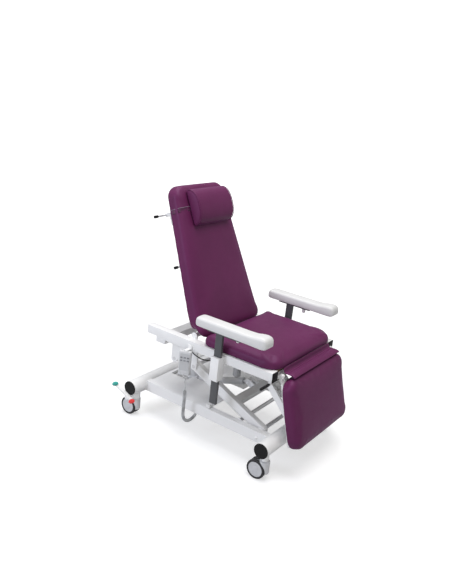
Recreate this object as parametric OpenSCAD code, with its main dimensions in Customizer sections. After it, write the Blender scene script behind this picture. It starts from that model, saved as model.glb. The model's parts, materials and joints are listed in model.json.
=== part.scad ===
/* [Base] */
// Distance between the axes of the two cross tubes
base_l = 848; // [780:2:900]
// Length of a cross tube without its end caps
tube_l = 732; // [720:2:800]
// Diameter of a cross tube
tube_d = 76; // [70:1:80]
// Wall of every steel tube
tube_wall = 3; // [2:0.5:4]
// Height of a cross tube axis above the floor
tube_z = 180; // [178:1:200]
// Height of a side member
member_h = 58; // [50:1:60]
// Width of a side member
member_w = 36; // [30:1:40]
// Distance from the middle of the chair to the middle of a side member
member_x = 252; // [250:1:258]
// Thickness of the base cover
cover_t = 2.5; // [2:0.1:3]

/* [Casters] */
// Wheel diameter
wheel_d = 100; // [90:1:100]
// Distance from the middle of the chair to a caster stem
stem_x = 315; // [312:1:325]
// Distance from the stem axis back to the wheel axle
trail = 35; // [33:1:38]
// Width of one tyre
tyre_w = 17; // [15:0.5:18]
// Gap between the two wheels of a caster
wheel_gap = 16; // [15:0.5:18]
// Height of the caster housing top above the floor
housing_top = 104; // [103:0.5:106]

/* [Lift] */
// Length of a lift arm between its two pivots
arm_l = 480; // [460:1:500]
// Angle of the arms above the horizontal at the lowest height
arm_angle = 23.5; // [22:0.5:26]
// Distance from the middle of the base forward to the front pivots
arm_pivot_y = 330; // [320:1:340]
// Height of the base pivots above the floor
arm_pivot_z = 190; // [186:1:196]
// Distance between the front pivots and the guide arm pivots
guide_gap = 130; // [120:1:150]
// Height of a lift arm
arm_h = 45; // [40:1:48]
// Width of a lift arm
arm_w = 30; // [26:1:32]
// Distance from the middle of the chair to the middle of a lift arm
arm_x = 213; // [210:0.5:214]
// Diameter of the pivot shafts
shaft_d = 20; // [16:0.5:22]
// Distance along the arm from the base pivot to the cross beam
beam_s = 196; // [180:1:210]

/* [Seat frame] */
// Distance from the middle of the chair to the middle of a seat rail
rail_x = 279.5; // [279:0.1:282]
// Width of a seat rail
rail_w = 45; // [42:0.5:46]
// Height of a seat rail
rail_h = 45; // [42:0.5:50]
// Height of the underside of the seat rails above the floor
rail_z = 502; // [498:1:512]
// How far the rails reach in front of the base middle
rail_front = 393; // [385:1:400]
// How far the rails reach behind the base middle
rail_rear = 394; // [380:1:420]

/* [Cushions] */
// Half width of the seat cushion
seat_half = 300; // [290:1:303]
// Front edge of the seat cushion, ahead of the base middle
seat_front = 408; // [398:1:409]
// Rear edge of the seat cushion, behind the base middle
seat_rear = 38; // [30:1:38]
// Thickness of the seat cushion at its edges
seat_t = 54; // [45:1:60]
// Crown of the seat cushion above its edges
seat_crown = 11; // [4:1:14]
// Backward tilt of the backrest when it is upright
back_tilt = 23.5; // [20:0.5:26]
// Length of the backrest cushion
back_l = 802; // [760:2:820]
// Half width of the backrest cushion at its foot
back_half = 274; // [262:1:276]
// Half width of the backrest cushion at its top
back_half_top = 214; // [200:1:222]
// Thickness of the backrest cushion with its crown
back_t = 77; // [72:1:79]
// Forward tilt of the hanging leg section
leg_tilt = 15.2; // [12:0.2:18]
// Length of the leg cushion
leg_l = 370; // [330:1:376]
// Half width of the leg cushion
leg_half = 273; // [258:1:275]
// Thickness of the leg cushion with its crown
leg_t = 68; // [62:1:70]

/* [Armrests] */
// Length of an armrest pad
pad_l = 408; // [380:2:430]
// Width of an armrest pad
pad_w = 75; // [66:1:80]
// Height of an armrest pad underside above the floor
pad_z = 669; // [664:1:690]
// Thickness of an armrest pad
pad_t = 46; // [38:1:48]
// Distance from the middle of the chair to the middle of an armrest post
post_x = 327; // [326:0.5:332]
// Thickness of an armrest post across the chair
post_w = 16; // [14:0.5:17]
// Depth of an armrest post along the chair
post_d = 40; // [36:0.5:42]
// Length of an armrest post
post_l = 378; // [360:1:390]
// Height of an armrest sleeve
sleeve_h = 122; // [110:1:130]

/* [Headrest] */
// Length of the headrest roll
head_l = 290; // [260:2:310]
// Height of the headrest roll along the backrest
head_h = 190; // [160:1:196]
// Depth of the headrest roll
head_d = 64; // [56:1:76]
// Width of the headrest strap
strap_w = 24; // [18:1:28]

/* [Handset] */
// Width of the handset
hand_w = 64; // [56:1:70]
// Length of the handset
hand_h = 132; // [120:1:140]
// Thickness of the handset
hand_t = 24; // [20:1:28]
// Outer diameter of the curly cord
curl_d = 18; // [17:0.5:20]
// Thickness of the cord
cord_d = 4.6; // [4.2:0.1:4.8]

/* [Hidden] */
$fn = 48;
// Overrun of cuts
cut = 1;
// Overlap of welded pieces
weld = 1;
// Running clearance of a shaft in its bore, on the radius
run_gap = 0.05;
// Clearance of a piece seated against another
seat_gap = 0.2;
// Clearance of a piece sliding in a guide
slide_gap = 0.25;
// Clearance between soft pieces and what is beside them
soft_gap = 0.5;
hull_fn = 32;
// How far the middle of the base stands behind the middle of the whole chair
base_shift = 22;

// Base
cap_t = 4;
cap_plug = 16;
member_drop = 6;
member_z = tube_z - member_drop;
member_in = member_x - member_w / 2;
member_out = member_x + member_w / 2;
member_top = member_z + member_h / 2;
neck_d = 34;
neck_rear_d = 46;
neck_gap = 1.5;
neck_z = housing_top + neck_gap;
stem_d = 12;
stem_l = 20;
boss_d = 34;
boss_t = 4.5;
cover_lap = 2;
cover_front = 35;
cover_gap = 6;
cover_rear = base_l / 2 - tube_d / 2 - cover_gap;
cover_r = 12;
slot_w = 92;
hole_l = 114;
hole_margin = 18;
hole_rear = cover_rear - hole_margin;
hole_front = hole_rear - hole_l;
hole_left = 100;
hole_right = 48;
cross_w = 30;
cross_h = 40;
cross_gap = 5;
cross_y = base_l / 2 - tube_d / 2 - cross_gap - cross_w / 2;
foot_d = 30;
foot_w = 26;
foot_pin_d = 12;
foot_reach = 46;
foot_y = cross_y - foot_reach;
foot_z = 150;
lug_t = 6;
lug_gap = 0.6;
dome_d = 19;
dome_h = 6;
dome_y = 333;
dome_drop = 6;
block_w = 24;
block_h = 15;
block_r = 4;
block_y = 22;

// Control box
box_w = 140;
box_d = 120;
box_h = 40;
box_x = 142;
box_y = 82;
box_r = 6;
gland_d = 20;
gland_h = 6;
box_top = member_top - seat_gap;
box_z = box_top - box_h;

// Brake
bar_af = 12;
bar_y = base_l / 2;
bar_z = 132;
journal_d = 15;
pedal_gap = 2.5;
pedal_w = 20;
pedal_t = 8;
pedal_hub_d = 24;
pedal_x = tube_l / 2 + cap_t + pedal_gap + pedal_w / 2;
pedal_rear = [0, 88, 44];
pedal_front = [0, -38, -12];
pedal_crest = pedal_hub_d / 2 - pedal_t / 2;
pad_foot_l = 40;
pad_foot_w = 26;
pad_foot_t = 5;
pad_foot_x = tube_l / 2 + cap_t + pedal_gap + pad_foot_l / 2;

// Casters
housing_d = 52;
housing_foot = 42;
housing_web = 10;
arch_gap = 3;
axle_d = 12;
axle_boss = 30;
disc_inset = 2;
tyre_t = 11;
tyre_r = 5;
hub_dish = 4;
hub_cap_d = 26;
axle_z = wheel_d / 2;

// Lift
eye_lead = 60;
eye_s = beam_s + eye_lead;
beam_h = 40;
guide_x = 165;
guide_h = 36;
guide_w = 25;
guide_tie_s = 80;
guide_tie_d = 24;
arm_wall = 3;
arm_in = arm_x - arm_w / 2;
frame_y = -arm_pivot_y + arm_l * cos(arm_angle);
frame_z = arm_pivot_z + arm_l * sin(arm_angle);
guide_y = -arm_pivot_y + guide_gap;
clevis_t = 6;
clevis_d = 34;
clevis_gap = 0.8;
rod_eye_d = 28;
rod_eye_w = 20;
pin_head_d = 16;
pin_head_t = 3;
eye_y = -arm_pivot_y + eye_s * cos(arm_angle);
eye_z = arm_pivot_z + eye_s * sin(arm_angle);
lift_len = norm([foot_y - eye_y, eye_z - foot_z]);
lift_angle = atan2(eye_z - foot_z, foot_y - eye_y);

// Actuators
act_tube_d = 38;
act_rod_d = 20;
act_bore_gap = 0.4;
gear_l = 70;
gear_w = 46;
gear_h = 46;
gear_r = 6;
gear_at = 24;
stub_d = 42;
stub_l = 92;
stub_cap = 8;
lift_stub = 128;
out_show = 36;
out_depth = 200;
in_show = 146;
in_depth = 92;
act_room = 6;

// Seat frame
rail_in = rail_x - rail_w / 2;
rail_out = rail_x + rail_w / 2;
rail_top = rail_z + rail_h;
rail_r = 21;
rail_wall = 3;
end_cap_t = 5;
end_plug = 20;
plug_in = rail_wall + seat_gap;
tie_w = 40;
tie_h = 40;
tie_drop = 10;
tie_z = rail_z - tie_drop;
tie_front_y = -365;
tie_mid_y = -222;
tie_rear_y = 4;
bracket_y = 300;
bracket_w = 60;
bracket_h = 36;
bracket_x = 290;
hanger_t = 8;
hanger_gap = 2.5;
hanger_reach = 36;
hanger_in = arm_x + arm_w / 2 + hanger_gap;
hanger_front = frame_y - hanger_reach;
hanger_rear = frame_y + guide_gap + hanger_reach;
hanger_d = 40;
flange_t = 7;
leg_y = -412;
leg_z = 520;
leg_lug_t = 6;
leg_lug_x = 245.5;
leg_lug_d = 24;
leg_pin_d = 10;
leg_ear_t = 8;
leg_ear_gap = 1.5;
back_y = 108.5;
back_z = 560;
back_lug_t = 8;
back_lug_d = 34;
back_pin_d = 14;
pivot_tube_d = 24;
board_half = 254;
board_front = 384;
board_rear = 30;
board_z = tie_z + tie_h + seat_gap;

// Cushions
cushion_z = rail_top + soft_gap;
edge_share = [0.35, 0.1, 0, 0.05, 0, 0.12, 0.42, 1];
rise_share = [0, 0.1, 0.34, 0.6, 0.72, 0.84, 0.96, 1];
flat_share = [0, 0, 0, 0, 0, 0, 0, 0];
crown_share = [0.72, 0.42, 0.12];
corner_steps = 4;
seat_edge = 34;
seat_corner = 82;
seat_rear_corner = 46;
back_edge = 26;
back_corner = 58;
leg_edge = 24;
leg_corner = 62;
back_face = 67;
back_crown = 7;
leg_crown = 8;
back_foot = -36;
back_under = 54;
back_under_share = [1, 1.05, 1, 0.2, 0.12, 0.06, 0, 0];
leg_face = 71;
leg_head = 4;
leg_under = 18;
leg_under_share = [1, 0.9, 0.5, 0.1, 0, 0, 0, 0];
flap_r = 17;
flap_gap = 0.3;
flap_y = tie_front_y - tie_w / 2 - flap_r - flap_gap;
flap_z = 529;
flap_half = 230;
flap_pleats = 4;
flap_depth = 2;

// Back frame
side_x = 165;
side_w = 30;
side_d = 25;
side_top = 606;
side_wall = 2.5;
back_rear = back_t - back_face;
back_frame_y = back_rear + soft_gap;
side_rear = back_frame_y + side_d;
cheek_h = 34;
cross_top = 590;
cross_low = 236;
roll_d = 8;
roll_y = 70;
roll_low_y = 60;
roll_z = 628;
roll_low_z = 354;
roll_x = 254;
roll_low_x = 208;
roll_lug = 18;
riser_d = 16;
riser_foot = 570;
riser_top = roll_z + roll_lug / 2;
tip_d = 15;
tip_l = 22;
tip_bore = 14;
back_motor_x = 70;
lever_t = 6;
lever_r = 120;
lever_lead = 31;
recline_turn = 62;
lever_d = 32;
back_anchor_y = -262;
back_anchor_z = 457;
lever_y = back_y + lever_r * sin(lever_lead);
lever_z = back_z - lever_r * cos(lever_lead);
back_len = norm([lever_y - back_anchor_y, lever_z - back_anchor_z]);
back_angle = atan2(lever_z - back_anchor_z, lever_y - back_anchor_y);
flat_y = back_y + lever_r * sin(lever_lead - recline_turn);
flat_z = back_z - lever_r * cos(lever_lead - recline_turn);
back_stroke = back_len - norm([flat_y - back_anchor_y, flat_z - back_anchor_z]);

// Headrest
head_foot = 538;
head_gap = 3;
head_ring_share = [[0, 0.02], [0, 0.98], [0.2, 1], [0.5, 0.97], [0.78, 0.84], [0.95, 0.64],
                   [1, 0.44], [0.95, 0.24], [0.78, 0.08], [0.45, 0.01], [0.2, 0]];
head_end_share = [[-0.5, 0.86], [-0.488, 0.95], [-0.46, 1], [-0.2, 1.02],
                  [0.2, 1.02], [0.46, 1], [0.488, 0.95], [0.5, 0.86]];
strap_t = 1.6;
strap_z = 619;
strap_room = 3;
strap_r = 18;

// Leg section
leg_panel_t = 12;
leg_panel_half = 246;
leg_panel_top = 32;
leg_side_x = 190;
leg_side_w = 24;
leg_side_top = 62;
leg_side_foot = 318;
leg_margin = 20;
leg_skin = 3;
leg_rim = 16;
leg_low = leg_head + leg_l - leg_margin;
leg_pocket = leg_side_x - leg_side_w / 2 - leg_rim / 2;
leg_lever_t = 12;
leg_lever_w = 34;
leg_lever_x = 190;
leg_arm_y = 105;
leg_arm_z = -75;
leg_foot_z = -232;
leg_cross_s = 42;
leg_cross_d = 22;
leg_motor_x = -70;
leg_anchor_y = 4;
leg_anchor_z = 430;
leg_back = leg_t - leg_face;
leg_side_y = leg_back + soft_gap + leg_panel_t + leg_side_w / 2 - weld;
leg_lean = atan2(leg_arm_y - leg_side_y, leg_arm_z - leg_foot_z);
leg_lever_l = norm([leg_arm_y - leg_side_y, leg_arm_z - leg_foot_z]);
push_y = leg_y + leg_arm_y * cos(leg_tilt) + leg_arm_z * sin(leg_tilt);
push_z = leg_z - leg_arm_y * sin(leg_tilt) + leg_arm_z * cos(leg_tilt);
leg_len = norm([push_y - leg_anchor_y, push_z - leg_anchor_z]);
leg_angle = atan2(push_z - leg_anchor_z, leg_anchor_y - push_y);
handle_y = -378;
handle_z = 484;
handle_d = 7;
handle_x = 300;
handle_in = 200;
handle_grip_d = 14;
handle_grip_l = 66;
handle_lug = 14;
handle_lug_t = 6;
handle_lug_x = 288;
handle_lug_in = 208;

// Armrests
sleeve_w = 50;
sleeve_d = 48;
sleeve_rise = 36;
sleeve_top = rail_z + sleeve_rise;
sleeve_x = rail_out + sleeve_w / 2;
post_y = -97;
plate_t = 6;
post_top = pad_z - plate_t;
plate_w = 58;
plate_front = 232;
plate_rear = -40;
knob_y = -192;
knob_x = 14;
knob_d = 18;
knob_h = 20;
knob_press = 3;
knob_rest = 0.5;
knob_stem = 8;
knob_cone = 4;
pad_front = -376;
pad_share = [0, 0.012, 0.05, 0.12, 0.3, 0.66, 0.78, 0.85, 0.91, 0.955, 0.985, 1];
pad_width_share = [0.8, 0.9, 0.98, 1, 1, 1, 1.02, 1.08, 1.1, 1.06, 0.92, 0.68];
pad_height_share = [0.82, 0.94, 1, 1, 1, 1, 1.03, 1.14, 1.2, 1.16, 0.98, 0.66];
pad_low_share = [0.14, 0.04, 0, 0, 0, 0, 0, 0, 0, 0.02, 0.1, 0.24];
pad_ring_share = [[-0.43, 0], [-0.49, 0.1], [-0.5, 0.4], [-0.47, 0.8], [-0.4, 0.95], [-0.24, 1],
                  [0.24, 1], [0.4, 0.95], [0.47, 0.8], [0.5, 0.4], [0.49, 0.1], [0.43, 0]];

// Handset
hand_x = 336;
hand_y = 92;
hand_z = 440;
hand_turn = 24;
hand_r = 8;
key_w = 12;
key_h = 8;
key_t = 1.2;
key_gap = 17;
key_row = 16;
key_top = 34;
hook_w = 30;
hook_h = 22;
hook_lip = 5;
hook_tongue = 18;

// Curly cord
curl_start = [-330, 80, 296];
curl_drop = curl_start[2] - box_z + gland_h;
curl_bend = 65;
curls = 50;
curl_rings = 8;
curl_sides = 6;
curl_len = curl_drop + PI * curl_bend;
curl_r = (curl_d - cord_d) / 2;
curl_ease = 2 * cord_d;
curl_steps = curls * curl_rings;
ring_share = [0.36, 0.87, 0.33];
lead_d = 5;
lead_points = [[-330, 80, 374], [-330, 80, 364], [-330, 82, 354], [-331, 84, 344], [-331, 84, 334],
               [-330, 82, 322], [-330, 80, 310], [-330, 80, 302], [-330, 80, 296]];

// Wrapped motor cable
wrap_d = 13;
wrap_y0 = 150;
wrap_y1 = bracket_y - bracket_w / 2;
wrap_x = 262;
wrap_z = 478;
wrap_ribs = 12;
wrap_low_share = 0.42;
wrap_high_share = 0.5;
cable_d = 6;
cable_points = [[-262, 150, 478], [-262, 140, 478], [-261, 128, 475], [-258, 112, 468], [-254, 96, 458],
                [-249, 80, 449], [-242, 66, 443], [-232, 52, 438], [-218, 40, 434], [-200, 28, 431],
                [-180, 16, 429], [-160, 4, 427], [-142, -8, 426], [-126, -20, 425], [-112, -28, 424],
                [-102, -31, 424], [-93, -31, 424]];

// A bar of rectangular section centred on its place
module bar(w, d, h) {
    cube([w, d, h], center = true);
}

// A rectangular tube along Y
module box_tube(w, l, h, wall) {
    difference() {
        bar(w, l, h);
        bar(w - 2 * wall, l + 2 * cut, h - 2 * wall);
    }
}

// A cylinder along X centred on its place
module rod_x(d, l) {
    rotate([0, 90, 0])
        cylinder(d = d, h = l, center = true);
}

// A plate with a round end about the origin and a straight root at distance l along -Z
module lug(d, l, t) {
    rod_x(d, t);
    translate([0, 0, -l / 2])
        bar(t, d, l);
}

// A rounded box made of four vertical corners
module rounded_box(w, d, h, r) {
    linear_extrude(height = h)
        offset(r = r, $fn = hull_fn)
            square([w - 2 * r, d - 2 * r], center = true);
}

// Puts a piece that is placed about the base middle about the middle of the chair
module placed() {
    translate([0, base_shift, 0])
        children();
}

// The frame of the upright backrest: origin on its hinge, Z up its length
module at_back() {
    translate([0, back_y, back_z])
        rotate([-back_tilt, 0, 0])
            children();
}

// The frame of the hanging leg section: origin on its hinge, Z up its length
module at_leg() {
    translate([0, leg_y, leg_z])
        rotate([-leg_tilt, 0, 0])
            children();
}

// The frame of a lift arm: origin on its base pivot, Z along the arm
module at_arm(y) {
    translate([0, y, arm_pivot_z])
        rotate([arm_angle - 90, 0, 0])
            children();
}

// Points round a ring of equal steps joined into one closed skin
function skin_faces(rings, n) = concat(
    [for (i = [1:n - 2]) [0, i, i + 1]],
    [for (k = [0:rings - 2]) for (i = [0:n - 1]) each [
        [k * n + i, (k + 1) * n + i, (k + 1) * n + (i + 1) % n],
        [k * n + i, (k + 1) * n + (i + 1) % n, k * n + (i + 1) % n]]],
    [for (i = [1:n - 2]) [(rings - 1) * n, (rings - 1) * n + i + 1, (rings - 1) * n + i]]);

// Corner points of a tapered slab outline, half width a at the foot and b at the top.
// Its corners have radius r at the foot and q at the top.
function slab_ring(a, b, l, r, q, inset, z, foot, top) =
    let (rr = max(r - inset, weld), qq = max(q - inset, weld), low = max(inset, foot), high = max(inset, top))
    let (corners = [[a - inset - rr, -l / 2 + low + rr, -90, rr],
                    [b - inset - qq, l / 2 - high - qq, 0, qq],
                    [-b + inset + qq, l / 2 - high - qq, 90, qq],
                    [-a + inset + rr, -l / 2 + low + rr, 180, rr]])
    [for (c = corners) for (k = [0:corner_steps])
        let (turn = c[2] + 90 * k / corner_steps)
        [c[0] + c[3] * cos(turn), c[1] + c[3] * sin(turn), z]];

// A sewn slab cushion: flat back, drawn-in sides, round edges, a crowned face and undercut ends
module slab_cushion(a, b, l, t, crown, edge, corner, end_corner, under, foot_share, top_share) {
    n = 4 * (corner_steps + 1);
    side = [for (k = [0:len(edge_share) - 1])
        slab_ring(a, b, l, corner, end_corner, edge * edge_share[k], (t - crown) * rise_share[k],
                  under * foot_share[k], under * top_share[k])];
    face = [for (s = crown_share)
        [for (p = slab_ring(a, b, l, corner, end_corner, edge, 0, 0, 0))
            [p[0] * s, p[1] * s, t - crown * s * s]]];
    rings = concat(side, face);
    polyhedron(points = [for (r = rings) each r], faces = skin_faces(len(rings), n));
}

module cross_tube(s) {
    translate([0, s * base_l / 2, tube_z])
        rod_x(tube_d, tube_l);
}

module cross_tube_bore(s) {
    translate([0, s * base_l / 2, tube_z])
        rod_x(tube_d - 2 * tube_wall, tube_l + 2 * cut);
}

module side_member(s) {
    translate([s * member_x, 0, member_z])
        difference() {
            bar(member_w, base_l - weld, member_h);
            bar(member_w - 2 * tube_wall, base_l + cut, member_h - 2 * tube_wall);
        }
}

module pivot_boss(s, y) {
    translate([s * (member_in - boss_t / 2 + weld / 2), y, arm_pivot_z])
        rod_x(boss_d, boss_t + weld);
}

module shaft_holes(y) {
    translate([0, y, arm_pivot_z])
        rod_x(shaft_d + 2 * run_gap, 2 * (member_in + tube_wall + seat_gap));
}

module neck(sx, sy) {
    translate([sx * stem_x, sy * base_l / 2, neck_z])
        cylinder(d = sy > 0 ? neck_rear_d : neck_d, h = tube_z - neck_z);
}

module base_frame() {
    placed()
    color("whitesmoke")
        difference() {
            union() {
                for (s = [-1, 1]) {
                    difference() {
                        side_member(s);
                        cross_tube_bore(-1);
                        cross_tube_bore(1);
                    }
                    cross_tube(s);
                    for (y = [-arm_pivot_y, guide_y])
                        pivot_boss(s, y);
                    for (t = [-1, 1])
                        neck(s, t);
                }
                translate([0, cross_y, foot_z])
                    bar(2 * (member_in + weld), cross_w, cross_h);
                for (s = [-1, 1])
                    translate([s * (foot_w / 2 + lug_gap + lug_t / 2), foot_y, foot_z])
                        rotate([90, 0, 0])
                            lug(foot_d, foot_reach - cross_w / 2 + weld, lug_t);
            }
            for (s = [-1, 1])
                cross_tube_bore(s);
            for (y = [-arm_pivot_y, guide_y])
                shaft_holes(y);
            for (sx = [-1, 1]) {
                for (sy = [-1, 1])
                    translate([sx * stem_x, sy * base_l / 2, neck_z - cut])
                        cylinder(d = stem_d + 2 * run_gap, h = stem_l + 2 * cut);
                translate([sx * stem_x, bar_y, bar_z])
                    rod_x(journal_d + 2 * run_gap, neck_rear_d + 2 * cut);
            }
            translate([0, foot_y, foot_z])
                rod_x(foot_pin_d + 2 * run_gap, foot_w + 2 * (lug_gap + lug_t + cut));
        }
}

module cover_outline() {
    difference() {
        offset(r = cover_r, $fn = hull_fn)
            translate([-member_out + cover_lap + cover_r, -cover_front + cover_r])
                square([2 * (member_out - cover_lap - cover_r), cover_front + cover_rear - 2 * cover_r]);
        translate([-slot_w / 2, -cover_front - cut])
            square([slot_w, cover_front + hole_front + 2 * cut]);
        translate([-hole_left, hole_front])
            square([hole_left + hole_right, hole_rear - hole_front]);
    }
}

module base_cover() {
    placed()
    color("white")
        translate([0, 0, member_top + seat_gap])
            linear_extrude(height = cover_t)
                cover_outline();
}

module tube_caps() {
    placed()
    color([0.08, 0.08, 0.08])
        for (sx = [-1, 1])
            for (sy = [-1, 1])
                translate([sx * tube_l / 2, sy * base_l / 2, tube_z])
                    rotate([0, sx * 90, 0]) {
                        cylinder(d = tube_d, h = cap_t);
                        translate([0, 0, -cap_plug])
                            cylinder(d = tube_d - 2 * (tube_wall + seat_gap), h = cap_plug + weld);
                    }
}

module side_fittings() {
    placed()
    color("white")
        for (s = [-1, 1]) {
            translate([s * member_out, -dome_y, member_z - dome_drop])
                rotate([0, s * 90, 0])
                    intersection() {
                        translate([0, 0, dome_h - dome_d / 2])
                            sphere(d = dome_d);
                        cylinder(d = dome_d, h = dome_d);
                    }
            translate([s * member_x, -block_y, member_top + cover_t + 2 * seat_gap])
                rounded_box(block_w, block_w, block_h, block_r);
        }
}

module control_box() {
    placed()
    color([0.55, 0.56, 0.58]) {
        translate([-box_x, box_y, box_z])
            rounded_box(box_w, box_d, box_h, box_r);
        translate([curl_start[0] + 2 * curl_bend, curl_start[1], box_z - gland_h])
            cylinder(d = gland_d, h = gland_h + weld);
    }
}

module base_shafts() {
    placed()
    color("silver")
        for (y = [-arm_pivot_y, guide_y])
            translate([0, y, arm_pivot_z])
                rod_x(shaft_d, 2 * (member_in + tube_wall));
}

// Caster housing with its stem, hollowed for the two wheels
module housing(sx, sy) {
    placed()
    color([0.72, 0.73, 0.75])
        translate([sx * stem_x, sy * base_l / 2, 0])
            difference() {
                union() {
                    translate([0, 0, housing_foot])
                        cylinder(d = housing_d, h = housing_top - housing_foot);
                    translate([0, 0, housing_top - weld])
                        cylinder(d = stem_d, h = stem_l);
                    translate([0, trail, axle_z])
                        rod_x(axle_boss, housing_web);
                    translate([-housing_web / 2, 0, axle_z - axle_boss / 2])
                        cube([housing_web, trail, axle_boss]);
                }
                for (s = [-1, 1])
                    translate([s * (housing_web / 2 + housing_d / 2), trail, axle_z])
                        rod_x(wheel_d + 2 * arch_gap, housing_d);
                translate([0, trail, axle_z])
                    rod_x(axle_d + 2 * run_gap, housing_d);
            }
}

module tyres(sx, sy) {
    placed()
    color([0.12, 0.12, 0.13])
        translate([sx * stem_x, sy * base_l / 2 + trail, axle_z])
            for (s = [-1, 1])
                translate([s * (wheel_gap + tyre_w) / 2, 0, 0])
                    rotate([0, 90, 0])
                        rotate_extrude()
                            translate([wheel_d / 2 - tyre_t, -tyre_w / 2])
                                difference() {
                                    offset(r = tyre_r, $fn = hull_fn)
                                        translate([0, tyre_r])
                                            square([tyre_t - tyre_r, tyre_w - 2 * tyre_r]);
                                    translate([-tyre_r - cut, -cut])
                                        square([tyre_r + cut, tyre_w + 2 * cut]);
                                }
}

// The two wheel discs on their common axle
module hubs(sx, sy) {
    placed()
    color([0.78, 0.79, 0.8])
        translate([sx * stem_x, sy * base_l / 2 + trail, axle_z]) {
            rod_x(axle_d, wheel_gap + tyre_w);
            for (s = [-1, 1])
                translate([s * wheel_gap / 2, 0, 0])
                    rotate([0, s * 90, 0])
                        rotate_extrude()
                            polygon([[0, disc_inset], [wheel_d / 2 - tyre_t - seat_gap, disc_inset],
                                     [wheel_d / 2 - tyre_t - seat_gap, tyre_w - disc_inset],
                                     [wheel_d / 2 - tyre_t - hub_dish, tyre_w - disc_inset],
                                     [hub_cap_d / 2 + hub_dish, tyre_w - disc_inset - hub_dish / 2],
                                     [hub_cap_d / 2, tyre_w - disc_inset], [0, tyre_w - disc_inset]]);
        }
}

// One bent pedal lever with its hub on the bar axis
module pedal(s) {
    translate([s * pedal_x, 0, 0]) {
        rod_x(pedal_hub_d, pedal_w);
        for (end = [pedal_rear, pedal_front])
            hull() {
                translate([0, 0, pedal_crest])
                    rod_x(pedal_t, pedal_w, $fn = hull_fn);
                translate(end)
                    rod_x(pedal_t, pedal_w, $fn = hull_fn);
            }
    }
}

module brake_bar() {
    placed()
    color("gainsboro")
        translate([0, bar_y, bar_z]) {
            rotate([0, 90, 0])
                cylinder(d = bar_af / cos(30), h = 2 * pedal_x, center = true, $fn = 6);
            for (s = [-1, 1]) {
                translate([s * stem_x, 0, 0])
                    rod_x(journal_d, neck_rear_d + weld);
                pedal(s);
            }
        }
}

// Oval tread on both levers of one side of the rocker
module brake_tread(end, tilt) {
    for (s = [-1, 1])
        translate([s * pad_foot_x, bar_y, bar_z])
            translate(end)
                rotate([tilt, 0, 0])
                    translate([0, 0, pedal_t / 2 + seat_gap])
                        linear_extrude(height = pad_foot_t)
                            scale([1, pad_foot_w / pad_foot_l])
                                circle(d = pad_foot_l);
}

module brake_pad_rear() {
    placed()
    color([0.1, 0.6, 0.45])
        brake_tread(pedal_rear, atan2(pedal_rear[2] - pedal_crest, pedal_rear[1]));
}

module brake_pad_front() {
    placed()
    color([0.8, 0.15, 0.15])
        brake_tread(pedal_front, atan2(pedal_crest - pedal_front[2], -pedal_front[1]));
}

// A box tube along an arm with round bored ends
module arm_tube(x, w, h) {
    translate([x, 0, 0]) {
        translate([0, 0, arm_l / 2])
            difference() {
                bar(w, h, arm_l);
                bar(w - 2 * arm_wall, h - 2 * arm_wall, arm_l - h);
            }
        rod_x(h, w);
        translate([0, 0, arm_l])
            rod_x(h, w);
    }
}

module arm_bores() {
    for (z = [0, arm_l])
        translate([0, 0, z])
            rod_x(shaft_d + 2 * run_gap, 2 * (arm_x + arm_w));
}

module lift_arms() {
    placed()
    color("whitesmoke")
        at_arm(-arm_pivot_y)
            difference() {
                union() {
                    for (s = [-1, 1])
                        arm_tube(s * arm_x, arm_w, arm_h);
                    translate([0, 0, beam_s])
                        bar(2 * (arm_in + weld), beam_h, beam_h);
                    for (s = [-1, 1])
                        translate([s * (rod_eye_w / 2 + clevis_gap + clevis_t / 2), 0, eye_s]) {
                            lug(clevis_d, eye_s - beam_s - beam_h / 2 + weld, clevis_t);
                            translate([s * (clevis_t + pin_head_t) / 2, 0, 0])
                                rod_x(pin_head_d, pin_head_t + weld);
                        }
                }
                arm_bores();
            }
}

module guide_arms() {
    placed()
    color("whitesmoke")
        at_arm(guide_y)
            difference() {
                union() {
                    for (s = [-1, 1])
                        arm_tube(s * guide_x, guide_w, guide_h);
                    translate([0, 0, guide_tie_s])
                        rod_x(guide_tie_d, 2 * guide_x - guide_w + 2 * weld);
                }
                arm_bores();
            }
}

// Fixed half of an actuator: foot eye at the origin, gear case and outer tube along Z.
// The bore goes on by the stroke where the rod draws in from its modelled position.
module actuator_body(l, show, depth, stub, stroke) {
    difference() {
        union() {
            rod_x(foot_d - 2 * weld, foot_w);
            rod_x(foot_pin_d, foot_w + 2 * (lug_gap + lug_t));
            translate([0, 0, gear_at / 2])
                bar(foot_w, foot_w, gear_at + weld);
            translate([0, 0, gear_at])
                rounded_box(gear_w, gear_h, gear_l, gear_r);
            translate([0, 0, gear_at])
                cylinder(d = act_tube_d, h = l - show - gear_at);
            translate([0, 0, gear_at + gear_l / 2])
                rotate([-90, 0, 0]) {
                    cylinder(d = stub_d, h = stub);
                    translate([0, 0, stub - weld])
                        cylinder(d1 = stub_d, d2 = stub_d - 2 * stub_cap, h = stub_cap);
                }
        }
        translate([0, 0, l - show - depth - act_room - stroke])
            cylinder(d = act_rod_d + 2 * act_bore_gap, h = depth + act_room + stroke + cut);
    }
}

// Moving rod of an actuator with its eye at distance l
module actuator_rod(l, show, depth) {
    translate([0, 0, l - show - depth])
        cylinder(d = act_rod_d, h = show + depth);
    translate([0, 0, l])
        rod_x(rod_eye_d, rod_eye_w);
}

module at_lift_motor() {
    translate([0, foot_y, foot_z])
        rotate([90 - lift_angle, 0, 0])
            children();
}

module lift_motor() {
    placed()
    color([0.8, 0.81, 0.82])
        at_lift_motor() {
            actuator_body(lift_len, out_show, out_depth, lift_stub, 0);
        }
}

module lift_rod() {
    placed()
    color("silver")
        at_lift_motor()
            actuator_rod(lift_len, out_show, out_depth);
}

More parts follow.
